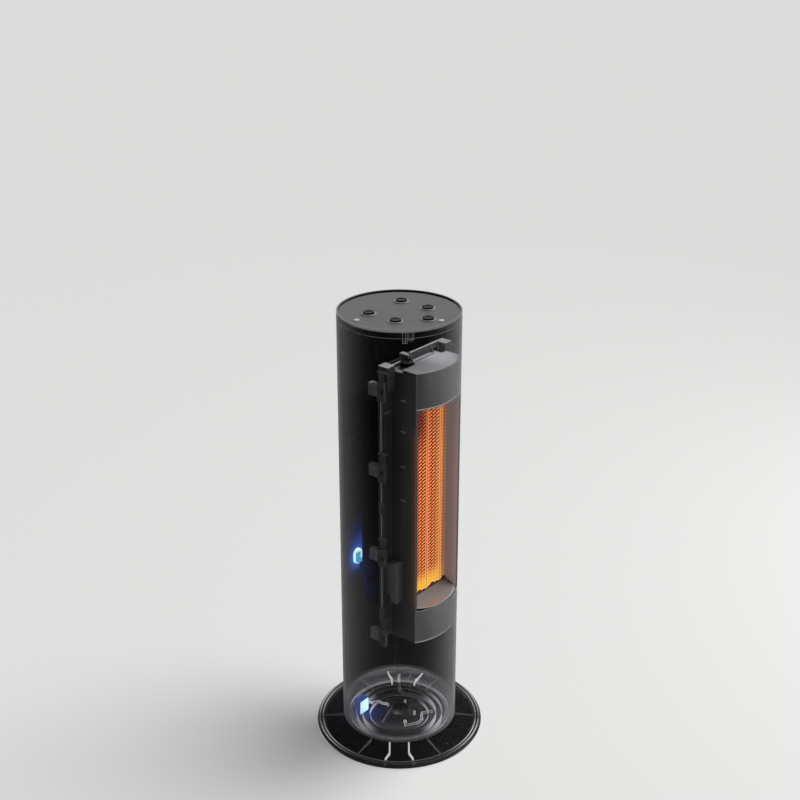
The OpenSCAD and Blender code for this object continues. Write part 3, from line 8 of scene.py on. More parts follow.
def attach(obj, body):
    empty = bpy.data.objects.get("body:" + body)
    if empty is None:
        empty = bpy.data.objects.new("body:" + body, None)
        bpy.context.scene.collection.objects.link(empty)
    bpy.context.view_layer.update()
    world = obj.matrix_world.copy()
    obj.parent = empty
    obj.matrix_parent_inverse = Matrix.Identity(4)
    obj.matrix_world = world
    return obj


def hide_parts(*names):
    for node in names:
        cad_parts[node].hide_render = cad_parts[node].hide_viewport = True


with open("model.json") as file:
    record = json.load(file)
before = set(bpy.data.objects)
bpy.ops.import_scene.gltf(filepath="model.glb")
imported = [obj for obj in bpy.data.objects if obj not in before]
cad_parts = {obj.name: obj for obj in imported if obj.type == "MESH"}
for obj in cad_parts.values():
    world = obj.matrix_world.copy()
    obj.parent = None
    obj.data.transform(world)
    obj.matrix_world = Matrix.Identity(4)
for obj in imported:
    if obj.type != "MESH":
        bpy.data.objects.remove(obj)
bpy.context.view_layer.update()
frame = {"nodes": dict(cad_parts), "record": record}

nodes = frame["nodes"]
scene = bpy.context.scene
mm = 0.001
bodyOf = {name: body for body, names in frame["record"]["behaviour"]["bodies"].items() for name in names}
slotOf = {part["node"]: part["material_slot"] for part in frame["record"]["subparts"]}

print("camera")
view = {
    "azimuth": -50.0,  # degrees from the front, towards the left side
    "pitch": 23.03,
    "distance": 1489.6 * mm,  # from the tower's axis, along the floor
    "height": 1101.3 * mm,
    "lens": 59.78,
    "sensor": 36.0,
    "shift": 0.0009,
    "farEnd": 60.0,
    "clearWalls": 48,  # clear walls that may stand behind one another
}


def makeCamera():
    data = bpy.data.cameras.new("photoCamera")
    data.lens = view["lens"]
    data.sensor_width = view["sensor"]
    data.shift_x = view["shift"]
    data.clip_end = view["farEnd"]
    camera = bpy.data.objects.new("photoCamera", data)
    scene.collection.objects.link(camera)
    turn, pitch = math.radians(view["azimuth"]), math.radians(view["pitch"])
    back = Vector((math.sin(turn), -math.cos(turn), 0.0))
    camera.location = back * view["distance"] + Vector((0.0, 0.0, view["height"]))
    look = -back * math.cos(pitch) - Vector((0.0, 0.0, math.sin(pitch)))
    camera.rotation_euler = look.to_track_quat("-Z", "Y").to_euler()
    scene.camera = camera
    scene.cycles.transparent_max_bounces = view["clearWalls"]


makeCamera()


def feed(tree, socket, value):
    if isinstance(value, bpy.types.NodeSocket):
        tree.links.new(value, socket)
    else:
        socket.default_value = value


def feedAll(tree, node, values):
    for label, value in values.items():
        feed(tree, node.inputs[label], value)


def calc(tree, operation, *values):
    node = tree.nodes.new("ShaderNodeMath")
    node.operation = operation
    for socket, value in zip(node.inputs, values):
        feed(tree, socket, value)
    return node.outputs[0]


def smoothStep(tree, value, low, high, start=0.0, end=1.0):
    node = tree.nodes.new("ShaderNodeMapRange")
    node.interpolation_type = "SMOOTHSTEP"
    feedAll(tree, node, {"Value": value, "From Min": low, "From Max": high, "To Min": start, "To Max": end})
    return node.outputs["Result"]


def mixValues(tree, factor, first, second):
    node = tree.nodes.new("ShaderNodeMix")
    for index, value in ((0, factor), (2, first), (3, second)):
        feed(tree, node.inputs[index], value)
    return node.outputs[0]


def mixColours(tree, factor, first, second):
    node = tree.nodes.new("ShaderNodeMix")
    node.data_type = "RGBA"
    for index, value in ((0, factor), (6, first), (7, second)):
        feed(tree, node.inputs[index], value)
    return node.outputs[2]


def colourRamp(tree, factor, stops):
    node = tree.nodes.new("ShaderNodeValToRGB")
    feed(tree, node.inputs[0], factor)
    points = node.color_ramp.elements
    for index, (place, colour) in enumerate(stops):
        point = points[index] if index < 2 else points.new(place)
        point.position = place
        point.color = (*colour, 1.0)
    return node.outputs[0]


def objectPlace(tree):
    return tree.nodes.new("ShaderNodeTexCoord").outputs["Object"]


def objectAxes(tree):
    split = tree.nodes.new("ShaderNodeSeparateXYZ")
    feed(tree, split.inputs[0], objectPlace(tree))
    return split.outputs


def product(tree, first, *others):
    for value in others:
        first = calc(tree, "MULTIPLY", first, value)
    return first


def opposite(tree, mask):
    return calc(tree, "SUBTRACT", 1.0, mask)


def newGroup(name, inputs, outputs):
    group = bpy.data.node_groups.new(name, "ShaderNodeTree")
    for label, kind, value in inputs:
        group.interface.new_socket(name=label, in_out="INPUT", socket_type=kind).default_value = value
    for label, kind in outputs:
        group.interface.new_socket(name=label, in_out="OUTPUT", socket_type=kind)
    return group, group.nodes.new("NodeGroupInput").outputs, group.nodes.new("NodeGroupOutput").inputs


def useGroup(tree, group, **values):
    node = tree.nodes.new("ShaderNodeGroup")
    node.node_tree = group
    feedAll(tree, node, values)
    return node.outputs


def newMaterial(name):
    material = bpy.data.materials.new(name)
    material.use_nodes = True
    tree = material.node_tree
    tree.nodes.clear()
    shader = tree.nodes.new("ShaderNodeBsdfPrincipled")
    tree.links.new(shader.outputs[0], tree.nodes.new("ShaderNodeOutputMaterial").inputs[0])
    return material, tree, shader


def shine(tree, shader, colour, power=1.0):
    feedAll(tree, shader, {"Emission Color": colour, "Emission Strength": power})


print("shared effects")
floatKind, colourKind, vectorKind = "NodeSocketFloat", "NodeSocketColor", "NodeSocketVector"
black = (0.0, 0.0, 0.0, 1.0)
grainLook = {
    "fineDetail": 3.0,
    "slowDetail": 2.0,
    "slowness": 14.0,  # how much wider the slow patches are than the grain
    "spread": 0.1,  # how far the roughness strays
    "depth": 0.0002,  # of the relief, in metres
}


def addNoise(group, scale, detail):
    # noise in place of the object, about 0
    noise = group.nodes.new("ShaderNodeTexNoise")
    feed(group, noise.inputs["Vector"], objectPlace(group))
    feed(group, noise.inputs["Scale"], scale)
    noise.inputs["Detail"].default_value = detail
    return calc(group, "SUBTRACT", noise.outputs["Fac"], 0.5)


def makeGrain():
    # fine moulded grain with slow patches of colour and gloss
    group, given, out = newGroup(
        "surfaceGrain",
        [("Colour", colourKind, (0.1, 0.1, 0.1, 1.0)), ("Variation", floatKind, 0.1),
         ("Scale", floatKind, 600.0), ("Roughness", floatKind, 0.5),
         ("Spread", floatKind, grainLook["spread"])],
        [("Colour", colourKind), ("Roughness", floatKind), ("Height", floatKind)])
    fine = addNoise(group, given["Scale"], grainLook["fineDetail"])
    wide = calc(group, "DIVIDE", given["Scale"], grainLook["slowness"])
    patch = addNoise(group, wide, grainLook["slowDetail"])
    gain = calc(group, "MULTIPLY_ADD", patch, product(group, given["Variation"], 2.0), 1.0)
    tint = group.nodes.new("ShaderNodeVectorMath")
    tint.operation = "SCALE"
    feed(group, tint.inputs[0], given["Colour"])
    feed(group, tint.inputs["Scale"], gain)
    feed(group, out["Colour"], tint.outputs[0])
    mixed = calc(group, "ADD", patch, fine)
    feed(group, out["Roughness"], calc(group, "MULTIPLY_ADD", mixed, given["Spread"], given["Roughness"]))
    feed(group, out["Height"], fine)
    return group


def makeSpotGlow():
    # 1 at the centre and falling away softly with distance
    group, given, out = newGroup(
        "spotGlow",
        [("Centre", vectorKind, (0.0, 0.0, 0.0)), ("Reach", floatKind, 0.02)],
        [("Mask", floatKind)])
    away = group.nodes.new("ShaderNodeVectorMath")
    away.operation = "DISTANCE"
    feed(group, away.inputs[0], objectPlace(group))
    feed(group, away.inputs[1], given["Centre"])
    share = calc(group, "DIVIDE", away.outputs["Value"], given["Reach"])
    feed(group, out["Mask"], calc(group, "EXPONENT", product(group, calc(group, "POWER", share, 2.0), -1.0)))
    return group


halo = {
    "ring": (0.0, 0.0735, 0.225),
    "block": (-0.026, 0.0385, 0.0145),
    "reach": 0.0175,
    "stops": [(0.0, (0.0, 0.0, 0.0)), (0.2, (0.003, 0.01, 0.09)), (0.65, (0.03, 0.12, 0.6)),
              (0.9, (0.1, 0.4, 1.0))],
}


def makeBlueHalo(spotGroup):
    # blue light that the sensor's ring and the switch block throw on what is round them
    group, given, out = newGroup(
        "blueHalo", [("Amount", floatKind, 1.0), ("Spread", floatKind, 1.0), ("Own", colourKind, black)],
        [("Colour", colourKind)])
    reach = product(group, given["Spread"], halo["reach"])
    ring, block = (useGroup(group, spotGroup, Centre=halo[key], Reach=reach)["Mask"]
                   for key in ("ring", "block"))
    share = product(group, calc(group, "MAXIMUM", ring, block), given["Amount"])
    total = group.nodes.new("ShaderNodeVectorMath")
    feed(group, total.inputs[0], colourRamp(group, share, halo["stops"]))
    feed(group, total.inputs[1], given["Own"])
    feed(group, out["Colour"], total.outputs[0])
    return group


def makeAxisPlace():
    # distance from the tower's axis, and height
    group, _, out = newGroup("axisPlace", [], [("Radius", floatKind), ("Height", floatKind)])
    x, y, z = objectAxes(group)
    squares = [calc(group, "POWER", axis, 2.0) for axis in (x, y)]
    across = calc(group, "SQRT", calc(group, "ADD", *squares))
    feed(group, out["Radius"], across)
    feed(group, out["Height"], z)
    return group


heat = {
    # colours from the fins' front inwards, by share of their depth; the darkening inwards is painted shade in
    # the folds
    "hot": [(0.0, (0.98, 0.31, 0.12)), (0.03, (0.9, 0.26, 0.08)), (0.08, (0.10, 0.0035, 0.0005)),
            (0.9, (0.03, 0.001, 0.0005))],
    "gold": [(0.0, (0.98, 0.56, 0.08)), (0.3, (0.6, 0.16, 0.01)), (0.9, (0.25, 0.03, 0.002))],
    "goldFade": (0.252, 0.226),  # heights
    "warm": (0.72, 0.34, 0.1, 1.0),
    "warmFade": (0.014, 0.026),  # to the right, from the axis
    "warmDepth": (0.3, 0.0),
    "warmShare": 0.6,
    "aside": (0.15, 0.05, 0.042, 1.0),
    "asideFade": (0.029, 0.032),
    "asideShare": 0.65,
    "cool": (0.06, 0.006, 0.010, 1.0),
    "coolHeights": (0.400, 0.455),
    "coolFade": (0.008, -0.016, 0.2, 1.0),  # to the left, and the shares there
    "coolShare": 0.86,
    "depth": 0.0115,
}


def makeCoreHeat():
    # colour of the glowing core: dark red in its depth (painted shade in the folds) and at the top left, gold
    # at the lower end
    group, given, out = newGroup(
        "coreHeat",
        [("Front", floatKind, -0.045), ("Depth", floatKind, heat["depth"])],
        [("Colour", colourKind)])
    x, y, z = objectAxes(group)
    inward = calc(group, "DIVIDE", calc(group, "SUBTRACT", y, given["Front"]), given["Depth"])
    hot, gold = (colourRamp(group, inward, heat[key]) for key in ("hot", "gold"))
    colour = mixColours(group, smoothStep(group, z, *heat["goldFade"]), hot, gold)
    deep = smoothStep(group, inward, *heat["warmDepth"])
    warm = product(group, smoothStep(group, x, *heat["warmFade"]), deep)
    aside = smoothStep(group, x, *heat["asideFade"])
    cool = product(group, smoothStep(group, z, *heat["coolHeights"]), smoothStep(group, x, *heat["coolFade"]))
    for key, mask in (("warm", warm), ("aside", aside), ("cool", cool)):
        colour = mixColours(group, product(group, mask, heat[key + "Share"]), colour, heat[key])
    feed(group, out["Colour"], colour)
    return group


def makeBoxFade():
    # 0 to 1 between two corners, along each axis that they set
    group, given, out = newGroup(
        "boxFade", [("Near", vectorKind, (0.0, 0.0, 0.0)), ("Far", vectorKind, (1.0, 1.0, 1.0))],
        [("Mask", floatKind)])
    fade = group.nodes.new("ShaderNodeMapRange")
    fade.data_type = "FLOAT_VECTOR"
    fade.interpolation_type = "SMOOTHSTEP"
    ins = {socket.identifier: socket for socket in fade.inputs}
    feed(group, ins["Vector"], objectPlace(group))
    feed(group, ins["From_Min_FLOAT3"], given["Near"])
    feed(group, ins["From_Max_FLOAT3"], given["Far"])
    split = group.nodes.new("ShaderNodeSeparateXYZ")
    feed(group, split.inputs[0], fade.outputs["Vector"])
    feed(group, out["Mask"], product(group, *split.outputs))
    return group


grainGroup = makeGrain()
placeGroup = makeAxisPlace()
heatGroup = makeCoreHeat()
haloGroup = makeBlueHalo(makeSpotGlow())
fadeGroup = makeBoxFade()

print("finishes")
finishes = {
    # name: colour, roughness, metallic, specular, grain scale, variation, bump, own light (a painted glow
    # wherever it is not 0)
    # painted light: the hood's faces that look up are lighter
    "litShelfPlastic": ((0.5, 0.49, 0.53), 0.42, 0.0, 0.3, 900, 0.06, 0.05, 0.0),
    "hoodPlastic": ((0.19, 0.188, 0.196), 0.45, 0.0, 0.14, 900, 0.06, 0.05, 0.0),
    "bafflePlastic": ((0.17, 0.15, 0.145), 0.5, 0.0, 0.1, 900, 0.05, 0.02, 0.0),
    # the inner walls' own light is the core's painted glow
    "glowLitInnerWall": ((0.47, 0.38, 0.385), 0.5, 0.0, 0.1, 900, 0.05, 0.02, 0.35),
    "riserPlastic": ((0.075, 0.075, 0.079), 0.5, 0.0, 0.15, 1100, 0.08, 0.1, 0.0),
    # painted highlight: pale glowing finish for the lower baffle's lip edges
    "lipHighlight": ((0.3, 0.29, 0.29), 0.4, 0.0, 0.3, 900, 0.05, 0.0, 0.15),
    "framePlastic": ((0.11, 0.11, 0.118), 0.5, 0.0, 0.14, 1100, 0.08, 0.1, 0.0),
    "clipPlastic": ((0.26, 0.265, 0.28), 0.5, 0.0, 0.14, 1100, 0.08, 0.1, 0.0),
    "coverPlastic": ((0.3, 0.3, 0.305), 0.5, 0.0, 0.14, 1000, 0.06, 0.1, 0.0),
    "blackPlastic": ((0.004, 0.004, 0.0045), 0.6, 0.0, 0.0, 1200, 0.1, 0.1, 0.0),
    "buttonPlastic": ((0.003, 0.003, 0.004), 0.32, 0.0, 0.06, 1500, 0.05, 0.03, 0.0),
    "collarPlastic": ((0.16, 0.16, 0.165), 0.4, 0.0, 0.4, 1200, 0.06, 0.06, 0.0),
    # the core caps' own light is a painted glow from the fins
    "coreCapPlastic": ((0.05, 0.016, 0.012), 0.6, 0.0, 0.3, 900, 0.12, 0.15, 0.1),
    # painted light: the frame's and riser's faces that look up are lighter
    "litTopPlastic": ((0.36, 0.36, 0.38), 0.45, 0.0, 0.3, 1100, 0.06, 0.08, 0.0),
    "capLine": ((0.02, 0.02, 0.022), 0.5, 0.0, 0.2, 1100, 0.06, 0.0, 0.0),
    # painted highlights: pale glowing finishes for bevelled edges and thin edge lines
    "edgeHighlight": ((0.42, 0.43, 0.45), 0.4, 0.0, 0.3, 900, 0.05, 0.0, 0.1),
    "clipEdgeHighlight": ((0.5, 0.51, 0.55), 0.4, 0.0, 0.3, 900, 0.05, 0.0, 0.16),
    "frameEdgeHighlight": ((0.3, 0.3, 0.32), 0.4, 0.0, 0.1, 900, 0.05, 0.0, 0.14),
    "hoodEdgeHighlight": ((0.6, 0.59, 0.6), 0.4, 0.0, 0.3, 900, 0.05, 0.0, 0.55),
    "dimEdgeHighlight": ((0.26, 0.265, 0.275), 0.4, 0.0, 0.3, 900, 0.05, 0.0, 0.02),
    # painted highlights: pale glowing finishes for the ribs under the base's dome
    "ribHighlight": ((0.8, 0.81, 0.83), 0.4, 0.0, 0.3, 900, 0.05, 0.0, 0.5),
    "faintRibHighlight": ((0.2, 0.2, 0.21), 0.4, 0.0, 0.3, 900, 0.05, 0.0, 0.08),
    "blackSteel": ((0.012, 0.012, 0.013), 0.5, 0.6, 0.3, 700, 0.1, 0.05, 0.0),
    "brassTab": ((0.55, 0.38, 0.12), 0.35, 1.0, 0.5, 1500, 0.08, 0.05, 0.0),
    "blackBoard": ((0.006, 0.010, 0.009), 0.45, 0.0, 0.3, 1500, 0.1, 0.05, 0.0),
    "blackCable": ((0.004, 0.004, 0.0045), 0.6, 0.0, 0.1, 1500, 0.08, 0.05, 0.0),
    "redCable": ((0.05, 0.006, 0.004), 0.5, 0.0, 0.2, 1500, 0.08, 0.05, 0.0),
    "footRubber": ((0.012, 0.012, 0.012), 0.8, 0.0, 0.2, 1200, 0.1, 0.2, 0.0),
}


zones = {
    # finish: where it changes (axis, start of the zone's fade, its end), its colour there, its own light
    # there (a painted glow)
    # painted shadow of the riser: the shelf is darker towards the left
    "litShelfPlastic": [([("x", 0.030, -0.015)], (0.2, 0.2, 0.21), None)],
    # the core's painted glow on the inner walls, darker low down and towards the back
    "glowLitInnerWall": [
        ([("z", 0.40, 0.25)], (0.40, 0.35, 0.34), None),
        ([("y", -0.070, -0.050)], (0.24, 0.215, 0.21), None)],
    "hoodPlastic": [
        # painted shade: the hood's left side wall is darker
        ([("x", -0.0400, -0.0405)], (0.1, 0.098, 0.1), None),
        # painted light: lighter low at the front on the left
        ([("z", 0.215, 0.205), ("x", 0.03, -0.02), ("y", -0.0601, -0.0603)], (0.34, 0.335, 0.35), None),
        # painted glow of the core on the left wall near the window's front
        ([("x", -0.0400, -0.0405), ("y", -0.050, -0.0605), ("z", 0.205, 0.225)], (0.17, 0.13, 0.12),
         (0.03, 0.009, 0.004)),
        # no painted glow high on the left wall, which is dark again there
        ([("x", -0.0400, -0.0405), ("z", 0.44, 0.47)], (0.1, 0.098, 0.1), (0.0, 0.0, 0.0))],
    "bafflePlastic": [([("x", 0.022, -0.01), ("y", -0.056, -0.066)], (0.24, 0.15, 0.11), None)],
    "framePlastic": [
        # painted shade: the frame's left side is darker
        ([("x", -0.0575, -0.0585)], (0.035, 0.035, 0.038), None),
        # painted shade: the frame is darker high up, above 0.49 m
        ([("z", 0.490, 0.503)], (0.04, 0.04, 0.044), None)],
    "clipPlastic": [
        ([("y", -0.0195, -0.0205)], (0.09, 0.09, 0.098), None),
        ([("y", -0.0195, -0.0185), ("z", 0.45, 0.2)], (0.42, 0.43, 0.47), None)],
}


def zoneMask(tree, limits):
    # an axis without a limit counts as passed, because the object lies far beyond these corners
    near, far = [-9.0] * 3, [-8.0] * 3
    for axis, low, high in limits:
        near["xyz".index(axis)], far["xyz".index(axis)] = low, high
    return useGroup(tree, fadeGroup, Near=near, Far=far)["Mask"]


def addGrain(tree, shader, colour, variation, scale, roughness, gloss, spread=grainLook["spread"]):
    grain = useGroup(tree, grainGroup, Colour=(*colour, 1.0), Variation=variation, Scale=scale,
                     Roughness=roughness, Spread=spread)
    feedAll(tree, shader, {"Base Color": grain["Colour"], "Roughness": grain["Roughness"],
                           "Specular IOR Level": gloss})
    return grain


def plainFinish(name, colour, roughness, metallic, specular, scale, variation, bump, glow):
    material, tree, shader = newMaterial(name)
    grain = addGrain(tree, shader, colour, variation, scale, roughness, specular, spread=0.12)
    colour, light = grain["Colour"], None
    for limits, tint, own in zones.get(name, []):
        mask = zoneMask(tree, limits)
        colour = mixColours(tree, mask, colour, (*tint, 1.0))
        if own:
            light = mixColours(tree, mask, light or black, (*own, 1.0))
    feedAll(tree, shader, {"Base Color": colour, "Metallic": metallic})
    if light or glow:
        shine(tree, shader, light or colour, glow or 1.0)
    if bump:
        relief = tree.nodes.new("ShaderNodeBump")
        feedAll(tree, relief, {"Strength": bump, "Distance": grainLook["depth"], "Height": grain["Height"]})
        feed(tree, shader.inputs["Normal"], relief.outputs[0])
    return material


finish = {name: plainFinish(name, *values) for name, values in finishes.items()}


def facingShare(tree):
    node = tree.nodes.new("ShaderNodeLayerWeight")
    node.inputs[0].default_value = 0.5
    return node.outputs["Facing"]


def setAlpha(tree, shader, seen, passing):
    # one alpha for the eye and another for the light that falls through
    light = tree.nodes.new("ShaderNodeLightPath")
    feed(tree, shader.inputs["Alpha"], mixValues(tree, light.outputs["Is Camera Ray"], passing, seen))


def blueHalo(tree, shader, amount=1.0, spread=1.0, own=black):
    shine(tree, shader, useGroup(tree, haloGroup, Amount=amount, Spread=spread, Own=own)["Colour"])


casingSmoke = {
    # radii and heights in metres; a fade is (from, to, value there, value there)
    "colour": (0.145, 0.143, 0.148),
    # painted light: a faint grey glow on the casing's outside
    "paintedHazeGlow": (0.05, 0.05, 0.052, 1.0),
    # painted shade: the far wall's inside is near black
    "insideShadeColour": (0.005, 0.005, 0.006, 1.0),
    "innerRadius": 0.0742,
    "innerFade": (0.0300, 0.0325, 0.1, 0.998),  # by height
    "padRadius": 0.0727,  # pads on the inner wall stay clear
    "padTop": 0.56,
    # painted highlight: the casing's top rim is lighter
    "rimHighlightColour": (0.2, 0.2, 0.205, 1.0),
    "rimHeight": 0.5842,
    "rimAlpha": 0.4,
    "turnFades": [(0.12, 0.72, 0.0, 0.66), (0.72, 0.79, 0.0, 0.3)],  # by how far the wall turns away
    "hazeFade": (0.52, 0.08, 0.012, 0.09),  # by height
    "windowEnd": [[("x", 0.0386, 0.0388), ("y", -0.0500, -0.0501), ("z", 0.2114, 0.2119)],
                  [("x", 0.0396, 0.0394), ("z", 0.4821, 0.4816)]],  # the window's right-hand end face
    "windowEndAlpha": 0.8,
    "passing": 0.06,
}


def makeSmokedCasing():
    # the near wall stays clear, and the far wall, seen from inside, is painted dark as shade; the outside has
    # a faint painted grey glow and the top rim a painted highlight
    material, tree, shader = newMaterial("smokedCasing")
    look = casingSmoke
    radius, height = useGroup(tree, placeGroup)
    facing = facingShare(tree)
    front = opposite(tree, tree.nodes.new("ShaderNodeNewGeometry").outputs["Backfacing"])
    windowEnd = product(tree, *(zoneMask(tree, limits) for limits in look["windowEnd"]))
    outer = smoothStep(tree, height, *look["hazeFade"])
    for fade in look["turnFades"]:
        outer = calc(tree, "ADD", outer, smoothStep(tree, facing, *fade))
    outer = product(tree, calc(tree, "MULTIPLY_ADD", windowEnd, look["windowEndAlpha"], outer), front)
    underPad = calc(tree, "LESS_THAN", height, look["padTop"])
    pad = product(tree, calc(tree, "LESS_THAN", radius, look["padRadius"]), underPad)
    inner = product(tree, smoothStep(tree, height, *look["innerFade"]), front, opposite(tree, pad))
    inside = product(tree, calc(tree, "LESS_THAN", radius, look["innerRadius"]), opposite(tree, windowEnd))
    rim = calc(tree, "GREATER_THAN", height, look["rimHeight"])
    seen = calc(tree, "MAXIMUM", mixValues(tree, inside, outer, inner), product(tree, rim, look["rimAlpha"]))
    setAlpha(tree, shader, seen, look["passing"])
    grain = addGrain(tree, shader, look["colour"], variation=0.05, scale=400.0, roughness=0.4, gloss=0.02)
    colour = mixColours(tree, inside, grain["Colour"], look["insideShadeColour"])
    feed(tree, shader.inputs["Base Color"], mixColours(tree, rim, colour, look["rimHighlightColour"]))
    blueHalo(tree, shader, own=mixColours(tree, inside, look["paintedHazeGlow"], black))
    return material


baseSmoke = {
    "colour": (0.012, 0.012, 0.0135),
    "rimFade": (0.0985, 0.1005),  # by distance from the axis, in metres
    "rimAlpha": 0.95,
    "turnFade": (0.6, 0.95, 0.22, 0.62),
    "sideFade": (0.4, 0.85),
    # painted sheen: a grey glow on the rim's upright side where it turns away
    "paintedSideSheen": (0.10, 0.10, 0.105, 1.0),
    "halo": 0.35,
    "passing": 0.06,
}


def makeSmokedBase():
    # dark see-through dome, closed towards its rim, whose upright side has a faint painted sheen glow
    material, tree, shader = newMaterial("smokedBase")
    look = baseSmoke
    facing = facingShare(tree)
    rim = smoothStep(tree, useGroup(tree, placeGroup)["Radius"], *look["rimFade"])
    skin = smoothStep(tree, facing, *look["turnFade"])
    setAlpha(tree, shader, calc(tree, "MAXIMUM", skin, product(tree, rim, look["rimAlpha"])), look["passing"])
    addGrain(tree, shader, look["colour"], variation=0.08, scale=400.0, roughness=0.3, gloss=0.06)
    side = product(tree, smoothStep(tree, facing, *look["sideFade"]), rim)
    blueHalo(tree, shader, look["halo"], own=mixColours(tree, side, black, look["paintedSideSheen"]))
    return material


haloFinishes = {
    # name: colour, how much of the blue light it shows, how much farther than usual the light reaches
    "basePlate": ((0.006, 0.006, 0.007), 0.5, 1.0),
    "haloPlastic": ((0.003, 0.003, 0.0034), 0.6, 1.9),
}


def makeHaloPlastic(name, colour, amount, spread):
    # near black plastic that shows the blue light when it is close to it
    material, tree, shader = newMaterial(name)
    addGrain(tree, shader, colour, variation=0.1, scale=900.0, roughness=0.5, gloss=0.0)
    blueHalo(tree, shader, amount, spread)
    return material


clearFinishes = {
    # name: colour, alpha face on and turned away, own light (a painted glow), from and to what turn the alpha
    # grows
    "clearPlastic": ((0.3, 0.305, 0.32), 0.02, 0.35, 0.0, (0.5, 0.95)),
    "clearFloor": ((0.4, 0.4, 0.43), 0.02, 0.75, 0.15, (0.5, 0.95)),
    "clearRingHighlight": ((0.7, 0.71, 0.74), 0.0, 0.95, 0.5, (0.32, 0.85)),
    "faintLead": ((0.1, 0.1, 0.105), 0.03, 0.2, 0.0, (0.5, 0.95)),
    "clearLead": ((0.7, 0.71, 0.74), 0.1, 0.95, 0.7, (0.3, 0.8)),
    "pinHighlight": ((0.7, 0.71, 0.74), 0.15, 0.95, 0.6, (0.1, 0.5)),
    "hubLead": ((0.7, 0.71, 0.74), 0.06, 0.95, 0.7, (0.4, 0.85)),
}
floorFades = {"hub": (0.012, 0.05), "rim": (0.052, 0.068, 0.0, 0.045)}  # by distance from the axis, in metres
leadShown = {"near": [("x", 0.038, 0.034), ("y", 0.008, 0.0)], "elsewhere": 0.12}


def makeClear(name, colour, centre, edge, glow, turns):
    # clear moulding: nearly nothing face on, and a pale outline where it turns away; where the finish has its
    # own light, that is a painted glow
    material, tree, shader = newMaterial(name)
    seen = smoothStep(tree, facingShare(tree), *turns, centre, edge)
    if name == "clearFloor":
        radius = useGroup(tree, placeGroup)["Radius"]
        hub, rim = (smoothStep(tree, radius, *floorFades[key]) for key in ("hub", "rim"))
        seen = calc(tree, "MULTIPLY_ADD", seen, hub, rim)
    if name == "hubLead":
        near = zoneMask(tree, leadShown["near"])
        seen = product(tree, seen, mixValues(tree, near, leadShown["elsewhere"], 1.0))
    setAlpha(tree, shader, seen, passing=0.03)
    grain = addGrain(tree, shader, colour, variation=0.05, scale=700.0, roughness=0.3, gloss=0.1)
    if glow:
        shine(tree, shader, grain["Colour"], glow)
    return material


capSmoke = {
    "colour": (0.135, 0.136, 0.141),
    "skirtColour": (0.005, 0.005, 0.006, 1.0),
    "topFade": (0.5808, 0.5816),  # by height, in metres
    "hookTop": 0.5785,
    "hookRadius": 0.0695,
    "alpha": 0.94,
    "hookAlpha": 0.14,
    "passing": 0.06,
}


def makeCap():
    # grey see-through top with a dark skirt and clear hooks
    material, tree, shader = newMaterial("capPlastic")
    look = capSmoke
    radius, height = useGroup(tree, placeGroup)
    grain = addGrain(tree, shader, look["colour"], variation=0.05, scale=500.0, roughness=0.42, gloss=0.05)
    top = smoothStep(tree, height, *look["topFade"])
    feed(tree, shader.inputs["Base Color"], mixColours(tree, top, look["skirtColour"], grain["Colour"]))
    low = calc(tree, "LESS_THAN", height, look["hookTop"])
    inward = calc(tree, "LESS_THAN", radius, look["hookRadius"])
    seen = mixValues(tree, product(tree, low, inward), look["alpha"], look["hookAlpha"])
    setAlpha(tree, shader, seen, look["passing"])
    return material


def makeShadeless():
    # boards and switches under the cap: dark to the eye, and no shade on what is below
    material, tree, shader = newMaterial("shadeless")
    addGrain(tree, shader, (0.005, 0.006, 0.006), variation=0.1, scale=1200.0, roughness=0.5, gloss=0.1)
    setAlpha(tree, shader, seen=1.0, passing=0.1)
    return material


# each front is where the painted shade inwards starts, so the set-back legs of deepFin are darker
glowFronts = {"hotFin": -0.0446, "deepFin": -0.0476, "hotBar": -0.0451}  # from where each is hot, in metres
ashColour, ashShare = (0.01, 0.004, 0.003, 1.0), 0.9  # the strips' own dark colour under their glow
groove = {"barStep": 0.0262, "fade": (0.0010, 0.0004), "colour": (0.3, 0.05, 0.003, 1.0), "share": 0.75}


def makeGlow(name, front):
    material, tree, shader = newMaterial(name)
    colour = useGroup(tree, heatGroup, Front=front, Depth=heat["depth"])["Colour"]
    if name == "hotBar":
        # a darker line down the middle of each bar
        across = calc(tree, "PINGPONG", calc(tree, "ABSOLUTE", objectAxes(tree)[0]), groove["barStep"] / 2)
        line = product(tree, smoothStep(tree, across, *groove["fade"]), groove["share"])
        colour = mixColours(tree, line, colour, groove["colour"])
    ash = mixColours(tree, ashShare, colour, ashColour)
    feedAll(tree, shader, {"Base Color": ash, "Roughness": 0.6, "Specular IOR Level": 0.05})
    shine(tree, shader, colour)
    return material


def addLens(tree, shader, colour, power=1.0):
    # even light with faint cloudiness, as in a milky lens
    cloud = useGroup(tree, grainGroup, Colour=colour, Variation=0.06, Scale=500.0, Roughness=0.4, Spread=0.05)
    feedAll(tree, shader, {"Base Color": (0.01, 0.02, 0.04, 1.0), "Roughness": 0.4,
                           "Specular IOR Level": 0.1})
    shine(tree, shader, cloud["Colour"], power)


def makeLight(name, stops, power=1.0):
    material, tree, shader = newMaterial(name)
    addLens(tree, shader, colourRamp(tree, facingShare(tree), stops), power)
    return material


litBoard = {
    "height": 0.225,
    "rightEdge": (0.0024, 0.0030),  # from the middle, in metres
    "endEdges": (0.0069, 0.0075),
    "middle": (0.07, 0.42, 0.72, 1.0),
    "edge": (0.7, 1.0, 1.0, 1.0),
}


